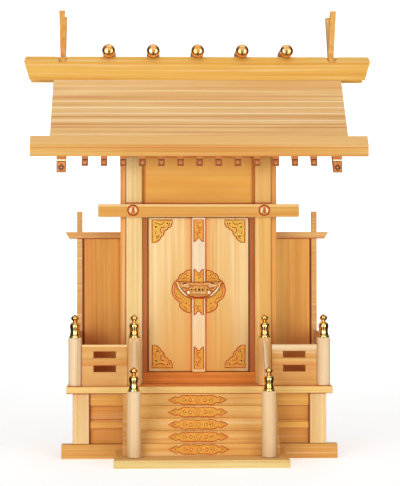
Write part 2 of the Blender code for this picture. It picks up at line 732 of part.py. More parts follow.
def build_wings(frame):
    """Screens beside the body: a post and a beam in one frame, with a panel in it."""
    low = VERANDA_TOP + TOUCH_GAP
    back = WING_SETBACK + WING_POST_SIDE
    panel_front = WING_SETBACK + (WING_POST_SIDE - WING_PANEL_THICKNESS) / 2
    beam_top = WING_BEAM_BOTTOM + WING_BEAM_HEIGHT
    for side, sign in SIDES:
        half = WING_POST_SIDE / 2
        place = (sign * WING_POST_X, 0, 0)
        post = block((-half, WING_SETBACK, low), (half, back, low + WING_POST_HEIGHT))
        wing_frame = add(f"wing_frame_{side}", post, place, frame, PALE_WOOD)
        beam_outer = WING_POST_X + half + WING_BEAM_OVERHANG
        outline = [
            (sign * WING_INNER, WING_BEAM_BOTTOM),
            (sign * WING_INNER, beam_top),
            (sign * beam_outer, beam_top),
            (sign * (beam_outer - WING_BEAM_BEVEL), WING_BEAM_BOTTOM),
        ]
        beam = extruded(outline, "Y", WING_SETBACK - WING_BEAM_PROUD, back + WING_BEAM_PROUD)
        combine(wing_frame, add_helper(f"wing_beam_{side}", beam, (0, 0, 0), frame), "UNION")

        panel_outer = WING_POST_X - half - TOUCH_GAP
        panel_half = (panel_outer - WING_INNER) / 2
        panel = block(
            (-panel_half, panel_front, low),
            (panel_half, panel_front + WING_PANEL_THICKNESS, WING_BEAM_BOTTOM - TOUCH_GAP),
        )
        place = (sign * (WING_INNER + panel_half), 0, 0)
        add(f"wing_panel_{side}", panel, place, frame, DEEP_WOOD)


def rafter(sign, reach, x, width, depth, top_y):
    """A rafter under the roof boards, housed a little way into the eave strip that ends at the reach."""
    end = reach - RAFTER_SETBACK
    housing_end = reach - EAVE_STRIP_REACH
    top = ROOF_THICKNESS - RAFTER_HOUSING
    clear = ROOF_THICKNESS + TOUCH_GAP
    bottom = ROOF_THICKNESS + depth
    outline = [
        (sign * end, roof_height(end, top)),
        (sign * end, roof_height(end, bottom)),
        (sign * top_y, roof_height(top_y, bottom)),
        (sign * top_y, roof_height(top_y, clear)),
        (sign * housing_end, roof_height(housing_end, clear)),
        (sign * housing_end, roof_height(housing_end, top)),
    ]
    return extruded(outline, "X", x - width / 2, x + width / 2)


def build_roof(frame):
    """Roof boards, and under each slope an eave strip with its rafters and bargeboards.

    The front slope is the longer one, and its eave strip is the wider one.
    """
    sine = math.sin(ROOF_PITCH)
    cosine = math.cos(ROOF_PITCH)
    slopes = (
        ("front", -1, FRONT_EAVE_REACH, FRONT_EAVE_OVERHANG),
        ("back", 1, BACK_EAVE_REACH, BACK_EAVE_OVERHANG),
    )
    for side, sign, reach, overhang in slopes:
        joint = reach - EAVE_STRIP_REACH
        joint_under = joint - ROOF_THICKNESS * sine
        board_joint = joint - TOUCH_GAP / cosine
        board_under = board_joint - ROOF_THICKNESS * sine
        peak = TOUCH_GAP / 2
        outline = [
            (sign * peak, roof_height(peak)),
            (sign * board_joint, roof_height(board_joint)),
            (sign * board_under, roof_height(board_under, ROOF_THICKNESS)),
            (sign * peak, roof_height(peak, ROOF_THICKNESS)),
        ]
        board = extruded(outline, "X", -ROOF_HALF, ROOF_HALF)
        break_edges(add(f"roof_{side}", board, (0, 0, 0), frame, ROOF_WOOD), EDGE_BREAK / 2)

        strip = [
            (sign * reach, roof_height(reach)),
            (sign * reach, roof_height(reach, ROOF_THICKNESS)),
            (sign * joint_under, roof_height(joint_under, ROOF_THICKNESS)),
            (sign * joint, roof_height(joint)),
        ]
        eave_half = ROOF_HALF + overhang
        eave = add(f"eave_{side}", extruded(strip, "X", -eave_half, eave_half), (0, 0, 0), frame, PALE_WOOD)
        body_face = PILLAR_FRONT if sign < 0 else BODY_BACK
        rafters = None
        for x in spaced(RAFTER_COUNT, RAFTER_PITCH):
            beside_body = abs(x) - RAFTER_WIDTH / 2 > BODY_HALF
            top_y = TOUCH_GAP if beside_body else body_face + TOUCH_GAP
            one = rafter(sign, reach, x, RAFTER_WIDTH, RAFTER_DEPTH, top_y)
            rafters = merged(rafters, one) if rafters else one
        for x in (-BARGEBOARD_X, BARGEBOARD_X):
            one = rafter(sign, reach, x, BARGEBOARD_WIDTH, BARGEBOARD_DEPTH, TOUCH_GAP)
            rafters = merged(rafters, one)
        combine(eave, add_helper(f"eave_rafters_{side}", rafters, (0, 0, 0), frame), "UNION")


def ridge_half_length(z):
    """Half the ridge's length at a height: undercut ends below the chamfer, drawn in above it."""
    bottom = roof_height(RIDGE_HALF_DEPTH)
    if z <= RIDGE_CHAMFER_BOTTOM:
        share = (z - bottom) / (RIDGE_CHAMFER_BOTTOM - bottom)
        return ROOF_HALF + RIDGE_OVERHANG + share * RIDGE_END_SLANT
    share = (z - RIDGE_CHAMFER_BOTTOM) / RIDGE_CHAMFER_HEIGHT
    return ROOF_HALF + RIDGE_OVERHANG + RIDGE_END_SLANT - share * RIDGE_END_CHAMFER


def ridge_beam():
    """A beam grooved to sit astride the roof, with slanting ends and a chamfered top."""
    lift = TOUCH_GAP / math.cos(ROOF_PITCH)
    edge = RIDGE_HALF_DEPTH
    top_edge = RIDGE_HALF_DEPTH - RIDGE_CHAMFER_DEPTH
    section = [
        (-edge, roof_height(edge) + lift),
        (0, roof_height(0) + lift),
        (edge, roof_height(edge) + lift),
        (edge, RIDGE_CHAMFER_BOTTOM),
        (top_edge, RIDGE_TOP),
        (-top_edge, RIDGE_TOP),
        (-edge, RIDGE_CHAMFER_BOTTOM),
    ]
    build = bmesh.new()
    ends = []
    for sign in (-1, 1):
        ends.append([build.verts.new((sign * ridge_half_length(z), y, z)) for y, z in section])
    for ring in ends:
        build.faces.new((ring[0], ring[1], ring[2], ring[3], ring[6]))
        build.faces.new((ring[3], ring[4], ring[5], ring[6]))
    for index in range(len(section)):
        after = (index + 1) % len(section)
        build.faces.new((ends[0][index], ends[0][after], ends[1][after], ends[1][index]))
    return build


def build_ridge(frame):
    """Ridge beam with its seats for the logs and the crossed boards, and the logs."""
    ridge = add("ridge_beam", ridge_beam(), (0, 0, 0), frame, PALE_WOOD)
    notch_floor = RIDGE_TOP - RIDGE_NOTCH_DEPTH
    floor_half = CROSS_THICKNESS / 2 + TOUCH_GAP
    above = RIDGE_TOP + RIDGE_NOTCH_DEPTH
    reach = 2 * RIDGE_HALF_DEPTH
    cuts = (
        ("slot", 0.0, -reach, reach),
        ("flare_front", 2 * RIDGE_NOTCH_FLARE, -reach, -RIDGE_NOTCH_CORE),
        ("flare_back", 2 * RIDGE_NOTCH_FLARE, RIDGE_NOTCH_CORE, reach),
    )
    for side, sign in SIDES:
        for word, flare, near, far in cuts:
            notch = [
                (-floor_half, notch_floor),
                (floor_half, notch_floor),
                (floor_half + flare, above),
                (-floor_half - flare, above),
            ]
            place = (sign * CROSS_X, 0, 0)
            cutter = add_helper(f"ridge_{word}_{side}", extruded(notch, "Y", near, far), place, frame)
            combine(ridge, cutter, "DIFFERENCE")

    seats = None
    radius = LOG_DIAMETER / 2
    flat = Matrix.Rotation(math.pi / 2, 4, "X")
    for index, x in enumerate(spaced(LOG_COUNT, LOG_PITCH)):
        seat = turned([(radius + TOUCH_GAP, -reach), (radius + TOUCH_GAP, reach)], POST_SIDES)
        bmesh.ops.transform(seat, matrix=Matrix.Translation((x, 0, LOG_Z)) @ flat, verts=seat.verts)
        seats = merged(seats, seat) if seats else seat
        half = LOG_LENGTH / 2
        profile = [
            (radius - EDGE_BREAK, -half),
            (radius, -half + EDGE_BREAK),
            (radius, half - EDGE_BREAK),
            (radius - EDGE_BREAK, half),
        ]
        log = turned(profile, POST_SIDES)
        bmesh.ops.transform(log, matrix=flat, verts=log.verts)
        smooth(add(f"ridge_log_{index + 1}", log, (x, 0, LOG_Z), frame, PALE_WOOD))
    combine(ridge, add_helper("ridge_log_seats", seats, (0, 0, 0), frame), "DIFFERENCE")


def cross_outline(sign, width, low, high):
    """A board leaning towards sign * Y through the crossing, cut level at both ends, as (y, height)."""
    across = width / 2 / math.sin(CROSS_ANGLE)
    points = []
    for z, side in ((low, -1), (low, 1), (high, 1), (high, -1)):
        points.append((sign * (z - CROSS_MIDDLE) / math.tan(CROSS_ANGLE) + side * across, z))
    return points


def build_crossed_boards(frame):
    """At each end of the ridge, two boards that cross in a half lap, seated in the ridge's notch."""
    low = RIDGE_TOP - RIDGE_NOTCH_DEPTH + TOUCH_GAP
    half = CROSS_THICKNESS / 2
    for side, side_sign in SIDES:
        place = (side_sign * CROSS_X, 0, 0)
        for lean, sign in (("front", -1), ("back", 1)):
            outline = cross_outline(sign, CROSS_WIDTH, low, CROSS_TOP)
            name = f"crossed_board_{side}_{lean}"
            board = add(name, extruded(outline, "X", -half, half), place, frame, PALE_WOOD)
            lap_width = CROSS_WIDTH + 2 * TOUCH_GAP
            lap = cross_outline(-sign, lap_width, low - CROSS_WIDTH, CROSS_TOP + CROSS_WIDTH)
            near = -sign * TOUCH_GAP / 2
            far = sign * CROSS_THICKNESS
            cutter = extruded(lap, "X", min(near, far), max(near, far))
            combine(board, add_helper(f"lap_{side}_{lean}", cutter, place, frame), "DIFFERENCE")


def main():
    remove_all()
    frame = add_frame()
    build_base(frame)
    build_stairs(frame)
    build_rail_posts(frame)
    build_railings(frame)
    build_body(frame)
    build_doors(frame)
    build_wings(frame)
    build_roof(frame)
    build_ridge(frame)
    build_crossed_boards(frame)


main()
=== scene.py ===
"""Looks of a household altar: new cypress, chased brass fittings, a pale studio floor, light and camera.

Lengths are metres in the altar's own frame: +Z up, and the doors face -Y.
"""

import logging
import math
from collections.abc import Callable, Iterable, Sequence
from dataclasses import dataclass, replace
from enum import Enum

import bmesh
import bpy
from mathutils import Euler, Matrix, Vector
from mathutils.geometry import tessellate_polygon


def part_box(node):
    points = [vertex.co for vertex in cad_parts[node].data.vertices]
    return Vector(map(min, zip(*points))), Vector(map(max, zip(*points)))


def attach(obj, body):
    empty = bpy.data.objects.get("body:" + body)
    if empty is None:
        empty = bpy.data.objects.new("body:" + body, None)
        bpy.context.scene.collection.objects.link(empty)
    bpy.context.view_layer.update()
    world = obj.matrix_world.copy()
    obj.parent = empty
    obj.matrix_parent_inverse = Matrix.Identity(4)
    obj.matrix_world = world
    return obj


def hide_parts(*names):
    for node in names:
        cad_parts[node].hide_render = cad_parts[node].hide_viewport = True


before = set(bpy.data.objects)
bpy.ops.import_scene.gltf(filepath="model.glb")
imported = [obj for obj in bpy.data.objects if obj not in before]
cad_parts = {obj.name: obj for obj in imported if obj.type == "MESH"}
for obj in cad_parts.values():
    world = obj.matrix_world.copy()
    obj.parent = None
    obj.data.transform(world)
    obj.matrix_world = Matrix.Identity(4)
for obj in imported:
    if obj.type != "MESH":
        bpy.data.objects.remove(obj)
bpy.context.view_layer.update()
LOG = logging.getLogger("altar")

Point = tuple[float, float]
Triple = tuple[float, float, float]
Colour = Triple
Tree = bpy.types.NodeTree
Socket = bpy.types.NodeSocket
Material = bpy.types.Material
Object = bpy.types.Object
Curl = tuple[Point, float, float, float]

WHITE = (1.0, 1.0, 1.0, 1.0)
TINY = 1e-7


class Body(Enum):
    """The bodies that a piece can ride on."""

    ALTAR = "altar"
    LEFT_LEAF = "left_leaf"
    RIGHT_LEAF = "right_leaf"


class Side(Enum):
    """Left and right as seen from the front, with the sign of X there."""

    LEFT = -1
    RIGHT = 1

    @property
    def word(self) -> str:
        """The side's name as the nodes spell it."""
        return self.name.lower()

    @property
    def leaf(self) -> Body:
        """The door leaf on this side."""
        return Body[f"{self.name}_LEAF"]

    def outer(self, low: Vector, high: Vector) -> float:
        """X of a box's outer face on this side."""
        return low.x if self is Side.LEFT else high.x


class Grain(Enum):
    """Which way the wood's grain runs, as the turn that brings it onto X."""

    ALONG_X = (0.0, 0.0, 0.0)
    ALONG_Y = (0.0, 0.0, -math.pi / 2)
    ALONG_Z = (0.0, math.pi / 2, 0.0)
    DOWN_STAIRS = (math.radians(-46.0), 0.0, -math.pi / 2)

    @property
    def axis(self) -> Vector:
        """The grain's own direction."""
        return Euler(self.value).to_matrix().transposed() @ Vector((1, 0, 0))


def srgb(red: int, green: int, blue: int) -> Colour:
    """A colour from 0 to 255 as a screen shows it, made linear."""
    shares = (channel / 255 for channel in (red, green, blue))
    return tuple(s / 12.92 if s <= 0.04045 else ((s + 0.055) / 1.055) ** 2.4 for s in shares)


def add_node(
    tree: Tree, kind: str, inputs: dict[int | str, object] | None = None, **settings: object
) -> bpy.types.Node:
    """Add a node, with its settings and its inputs.

    Args:
        tree: The tree it goes into.
        kind: Blender's name for the kind of node.
        inputs: Values, or sockets to link, by the input's name or place.
        **settings: Properties of the node itself.

    Returns:
        The new node.
    """
    node = tree.nodes.new(kind)
    for key, value in settings.items():
        setattr(node, key, value)
    for key, value in (inputs or {}).items():
        if isinstance(value, Socket):
            tree.links.new(value, node.inputs[key])
        else:
            node.inputs[key].default_value = value
    return node


def math_node(tree: Tree, operation: str, *values: Socket | float) -> Socket:
    """The socket of a sum on one or two values, by Blender's name for the sum."""
    return add_node(tree, "ShaderNodeMath", dict(enumerate(values)), operation=operation).outputs[0]


def mixed(tree: Tree, share: Socket, first: Colour | Socket, second: Colour) -> Socket:
    """Two colours mixed.

    Args:
        tree: The tree it goes into.
        share: The socket that says how much of the second.
        first: The first colour, or its socket.
        second: The second colour.

    Returns:
        The socket of the mixed colour.
    """
    first = first if isinstance(first, Socket) else (*first, 1.0)
    colours = {0: share, 6: first, 7: (*second, 1.0)}
    return add_node(tree, "ShaderNodeMix", colours, data_type="RGBA").outputs[2]


def ramped(tree: Tree, value: Socket, low: float, high: float, top: float = 1.0) -> Socket:
    """A value made to run from 0 at low to top at high, with a soft start and end."""
    inputs = {"Value": value, "From Min": low, "From Max": high, "To Max": top}
    return add_node(tree, "ShaderNodeMapRange", inputs, interpolation_type="SMOOTHSTEP").outputs["Result"]


def stretched_noise(tree: Tree, place: Socket, cells: Triple, detail: float = 2.0) -> bpy.types.Node:
    """Noise that has its own count of cells to the metre along each axis."""
    scaled = add_node(tree, "ShaderNodeMapping", {"Vector": place, "Scale": cells}).outputs[0]
    return add_node(tree, "ShaderNodeTexNoise", {"Vector": scaled, "Scale": 1.0, "Detail": detail})


def pushed_about(tree: Tree, place: Socket, cells: Triple, reach: Triple) -> Socket:
    """Coordinates that slow noise pushes about.

    Args:
        tree: The tree it goes into.
        place: The socket of the coordinates.
        cells: Noise cells to the metre, along each axis.
        reach: How far they are pushed either way, along each axis.

    Returns:
        The socket of the new coordinates.
    """
    noise = stretched_noise(tree, place, cells).outputs["Color"]
    push = {0: noise, 1: (0.5, 0.5, 0.5)}
    push = add_node(tree, "ShaderNodeVectorMath", push, operation="SUBTRACT").outputs[0]
    push = {0: push, 1: [2 * part for part in reach], 2: place}
    return add_node(tree, "ShaderNodeVectorMath", push, operation="MULTIPLY_ADD").outputs[0]


def blank_material(name: str) -> tuple[Material, Tree, bpy.types.Node]:
    """A new material, with its tree and its shader."""
    material = bpy.data.materials.new(name)
    material.use_nodes = True
    return material, material.node_tree, material.node_tree.nodes["Principled BSDF"]


@dataclass(frozen=True)
class Texture:
    """How rough a finish is: how far its roughness swings, and how strong and deep its bumps are."""

    smoother: float
    rougher: float
    bump: float
    depth: float
    cloud_reach: Point = (0.3, 0.7)

    def lay(self, tree: Tree, roughness: float, cloud: Socket, relief: Socket) -> None:
        """Lay the texture on a material.

        Args:
            tree: The material's tree.
            roughness: The middle roughness.
            cloud: The socket that the roughness follows.
            relief: The socket that the bumps follow.
        """
        shader = tree.nodes["Principled BSDF"]
        rough = {"Value": cloud, "From Min": self.cloud_reach[0], "From Max": self.cloud_reach[1]}
        rough |= {"To Min": roughness - self.smoother, "To Max": roughness + self.rougher}
        tree.links.new(add_node(tree, "ShaderNodeMapRange", rough).outputs[0], shader.inputs["Roughness"])
        bump = {"Height": relief, "Strength": self.bump, "Distance": self.depth}
        tree.links.new(add_node(tree, "ShaderNodeBump", bump).outputs[0], shader.inputs["Normal"])


@dataclass(frozen=True)
class Band:
    """A streak of another tone that runs straight over a board, at its place along X or Z: mostly painted
    shade and highlights, and on the roof its grain.

    Along X it is laid on both sides alike, at the same distance from the altar's middle.
    """

    axis: str
    place: float
    half_width: float
    tone: Colour
    share: float = 0.7
    soft: float = 0.0004

    def laid(self, tree: Tree, parts: bpy.types.Node, colour: Socket) -> Socket:
        """The band laid over a colour.

        Args:
            tree: The tree it goes into.
            parts: The node that gives X, Y and Z.
            colour: The socket of the colour.

        Returns:
            The socket of the result.
        """
        value = parts.outputs[self.axis]
        if self.axis == "X":
            value = math_node(tree, "ABSOLUTE", value)
        off = math_node(tree, "ABSOLUTE", math_node(tree, "SUBTRACT", value, self.place))
        share = ramped(tree, off, self.half_width + self.soft, self.half_width - self.soft, self.share)
        return mixed(tree, share, colour, self.tone)


@dataclass(frozen=True)
class WoodFinish:
    """Planed cypress: growth lines along the grain, fine fibres, slow patches of tone and end grain.

    Lengths are metres, cells are noise cells to the metre along the grain and across it, and each reach
    is the pair of values between which its tone sets in.
    """

    name: str
    light: Colour
    tone: Colour
    line: Colour
    pale: Colour = srgb(250, 228, 186)
    line_pitch: float = 0.0024
    line_share: float = 0.55
    pale_share: float = 0.35
    fibre_share: float = 0.22
    wander: float = 0.0016
    # A tone towards the foot; on the wings, flanks, eaves and jambs it paints shade.
    foot_tone: Colour | None = None
    foot_heights: Point = (0.0, 1.0)
    foot_share: float = 0.85
    # Painted light and shade on upward faces, for how the light falls on them.
    top_tone: Colour | None = None
    top_share: float = 0.9
    end_share: float = 0.3
    # Bands: mostly painted shade and highlights; the roof's stand for its grain.
    bands: tuple[Band, ...] = ()
    sway: float = 0.0005
    line_cells: float = 2.2
    drift_cells: Triple = (5.0, 24.0, 24.0)
    fibre_cells: Triple = (70.0, 2600.0, 2600.0)
    patch_cells: Triple = (4.0, 30.0, 30.0)
    sway_cells: Triple = (9.0, 9.0, 9.0)
    patch_reach: Point = (0.36, 0.64)
    line_reach: Point = (0.52, 0.70)
    pale_reach: Point = (0.46, 0.30)
    fibre_reach: Point = (0.45, 0.75)
    top_reach: Point = (0.5, 0.75)
    end_reach: Point = (0.75, 0.95)
    stride: Triple = (0.731, 0.417, 0.293)
    roughness: float = 0.52
    shine: float = 0.22
    texture: Texture = Texture(smoother=0.06, rougher=0.06, bump=0.35, depth=0.00012)

    def material(self, grain: Grain, seed: int) -> Material:
        """The finish as a material for one board.

        Args:
            grain: Which way the board's grain runs.
            seed: The board's number, so that no two boards are alike.

        Returns:
            The material.
        """
        material, tree, shader = blank_material(f"{self.name}_{seed}")
        texture = add_node(tree, "ShaderNodeTexCoord")
        place = texture.outputs["Object"]
        # Coordinates of the board's own, with the grain along X, bent a little so that no line is straight.
        offset = tuple(step * seed for step in self.stride)
        board = {"Vector": place, "Rotation": grain.value, "Location": offset}
        board = add_node(tree, "ShaderNodeMapping", board).outputs[0]
        board = pushed_about(tree, board, self.drift_cells, (0.0, self.wander, self.wander))

        across = 1 / self.line_pitch
        lines = stretched_noise(tree, board, (self.line_cells, across, across), 3.0).outputs["Fac"]
        fibres = stretched_noise(tree, board, self.fibre_cells, 3.0).outputs["Fac"]
        patches = stretched_noise(tree, board, self.patch_cells).outputs["Fac"]

        colour = mixed(tree, ramped(tree, patches, *self.patch_reach), self.light, self.tone)
        colour = mixed(tree, ramped(tree, lines, *self.line_reach, self.line_share), colour, self.line)
        colour = mixed(tree, ramped(tree, lines, *self.pale_reach, self.pale_share), colour, self.pale)
        colour = mixed(tree, ramped(tree, fibres, *self.fibre_reach, self.fibre_share), colour, self.line)

        # Tones that depend on where a point is on the altar, and on which way its face looks: mostly painted
        # light and shade.
        if self.foot_tone:
            height = add_node(tree, "ShaderNodeSeparateXYZ", {0: place}).outputs["Z"]
            low, high = self.foot_heights
            colour = mixed(tree, ramped(tree, height, high, low, self.foot_share), colour, self.foot_tone)
        if self.top_tone:
            upward = add_node(tree, "ShaderNodeSeparateXYZ", {0: texture.outputs["Normal"]}).outputs["Z"]
            above = ramped(tree, upward, *self.top_reach, self.top_share)
            colour = mixed(tree, above, colour, self.top_tone)
        if self.bands:
            swaying = pushed_about(tree, place, self.sway_cells, (self.sway,) * 3)
            parts = add_node(tree, "ShaderNodeSeparateXYZ", {0: swaying})
            for band in self.bands:
                colour = band.laid(tree, parts, colour)
        facing = {0: texture.outputs["Normal"], 1: grain.axis}
        facing = add_node(tree, "ShaderNodeVectorMath", facing, operation="DOT_PRODUCT").outputs["Value"]
        facing = math_node(tree, "ABSOLUTE", facing)
        end_grain = ramped(tree, facing, *self.end_reach, self.end_share)
        tree.links.new(mixed(tree, end_grain, colour, self.line), shader.inputs["Base Color"])

        self.texture.lay(tree, self.roughness, fibres, math_node(tree, "ADD", lines, fibres))
        shader.inputs["Specular IOR Level"].default_value = self.shine
        return material


@dataclass(frozen=True)
class BrassFinish:
    """Chased brass: bright on the relief, dark in its cut lines, with a little tarnish.

    The mesh's own "hollow" attribute says where the dark goes: -1 is a painted highlight almost white, 0
    bright,
    0.5 red-brown and 1 black-brown; much of the dark is painted shade round a plate's edges, at the feet of
    its relief and in its pits.
    """

    name: str
    bright: Colour
    tarnish: Colour
    hollow: Colour
    pit: Colour
    burnished: Colour = srgb(255, 244, 206)
    metal: float = 0.22
    hollow_metal: float = 0.05
    roughness: float = 0.24
    tarnish_share: float = 0.75
    cloud_cells: float = 420.0
    grit_cells: float = 2400.0
    tarnish_reach: Point = (0.42, 0.68)
    hollow_reach: Point = (0.08, 0.55)
    pit_reach: Point = (0.6, 0.95)
    burnished_reach: Point = (-0.2, -0.8)
    metal_reach: Point = (0.3, 0.9)
    texture: Texture = Texture(smoother=0.07, rougher=0.09, bump=0.12, depth=0.0001)

    def material(self) -> Material:
        """The finish as a material.

        Returns:
            The material.
        """
        material, tree, shader = blank_material(self.name)
        place = add_node(tree, "ShaderNodeTexCoord").outputs["Object"]
        cloud = stretched_noise(tree, place, (self.cloud_cells,) * 3, 3.0).outputs["Fac"]
        grit = stretched_noise(tree, place, (self.grit_cells,) * 3).outputs["Fac"]
        hollow = add_node(tree, "ShaderNodeAttribute", attribute_name="hollow").outputs["Fac"]
        dulled = ramped(tree, cloud, *self.tarnish_reach, self.tarnish_share)
        colour = mixed(tree, dulled, self.bright, self.tarnish)
        colour = mixed(tree, ramped(tree, hollow, *self.hollow_reach), colour, self.hollow)
        colour = mixed(tree, ramped(tree, hollow, *self.pit_reach), colour, self.pit)
        # Painted highlight: below zero the attribute turns the brass almost white.
        colour = mixed(tree, ramped(tree, hollow, *self.burnished_reach), colour, self.burnished)
        tree.links.new(colour, shader.inputs["Base Color"])
        # Painted shade and painted highlights both make the brass less metallic.
        metal = {"Value": math_node(tree, "ABSOLUTE", hollow)}
        metal |= {"From Min": self.metal_reach[0], "From Max": self.metal_reach[1]}
        metal |= {"To Min": self.metal, "To Max": self.hollow_metal}
        tree.links.new(add_node(tree, "ShaderNodeMapRange", metal).outputs[0], shader.inputs["Metallic"])
        self.texture.lay(tree, self.roughness, cloud, grit)
        return material


def sampled(count: int, place: Callable[[float], Point]) -> list[Point]:
    """Points of a curve at even steps of its share from 0 to 1, one more than the steps."""
    return [place(step / count) for step in range(count + 1)]


def circle(centre: Point, radius: float, sides: int) -> list[Point]:
    """A closed ring of points, anticlockwise."""
    turns = (2 * math.pi * side / sides for side in range(sides))
    return [(centre[0] + radius * math.cos(turn), centre[1] + radius * math.sin(turn)) for turn in turns]


def scroll(centre: Point, radii: Point, start: float, turns: float, steps: int) -> list[Point]:
    """A scroll that winds in.

    Args:
        centre: Its eye.
        radii: Radius where it starts and where it ends.
        start: The angle where it starts, in degrees.
        turns: Full turns to its end, clockwise if negative.
        steps: Steps along it.

    Returns:
        The points from the outside in.
    """

    def place(share: float) -> Point:
        """The scroll's point at a share of its length."""
        radius = radii[0] + (radii[1] - radii[0]) * share**0.8
        angle = math.radians(start) + turns * 2 * math.pi * share
        return centre[0] + radius * math.cos(angle), centre[1] + radius * math.sin(angle)

    return sampled(steps, place)


def swollen(steps: int, thick: float, thin: float) -> list[float]:
    """Half widths of a stroke at its steps, thick in the middle and a thin share of that at both ends."""
    shares = (math.sin(math.pi * step / steps) ** 0.7 for step in range(steps + 1))
    return [thick * (thin + (1 - thin) * share) for share in shares]


def flipped(points: Iterable[Point], across: int = 1, up: int = 1) -> list[Point]:
    """Points mirrored left and right where across is -1, and up and down where up is -1."""
    return [(across * u, up * v) for u, v in points]


def heading(start: Point, end: Point) -> Vector:
    """The direction from one point to another, of length one."""
    along = Vector((end[0] - start[0], end[1] - start[1]))
    return along.normalized() if along.length > TINY else Vector((1, 0))


def placed(name: str, data: bpy.types.ID) -> Object:
    """A new object in the scene."""
    item = bpy.data.objects.new(name, data)
    bpy.context.scene.collection.objects.link(item)
    return item


def mesh_piece(
    name: str, points: Sequence[Vector | Triple], faces: Sequence[Sequence[int]], crease: float = 40
) -> Object:
    """A piece from points and faces, its faces turned outwards and shaded smooth up to a crease.

    Args:
        name: The piece's name.
        points: The corners.
        faces: The faces, as places in points.
        crease: Degrees between faces past which an edge stays sharp.

    Returns:
        The piece, at the origin.
    """
    mesh = bpy.data.meshes.new(name)
    mesh.from_pydata([tuple(point) for point in points], [], faces)
    build = bmesh.new()
    build.from_mesh(mesh)
    bmesh.ops.recalc_face_normals(build, faces=build.faces)
    build.to_mesh(mesh)
    build.free()
    mesh.shade_smooth()
    mesh.set_sharp_from_angle(angle=math.radians(crease))
    return placed(name, mesh)


@dataclass(frozen=True)
class Plane:
    """Where a plate lies that is drafted in millimetres, and which way across and up run there."""

    origin: Triple = (0.0, 0.0, 0.0)
    across: Triple = (1.0, 0.0, 0.0)
    up: Triple = (0.0, 0.0, 1.0)
    unit: float = 0.001

    def place(self, u: float, v: float, out: float) -> Vector:
        """A point of the plate in the altar's frame.

        Args:
            u: Across.
            v: Up.
            out: Out of the plane.

        Returns:
            The point.
        """
        across, up = Vector(self.across), Vector(self.up)
        return Vector(self.origin) + (across * u + up * v + across.cross(up) * out) * self.unit


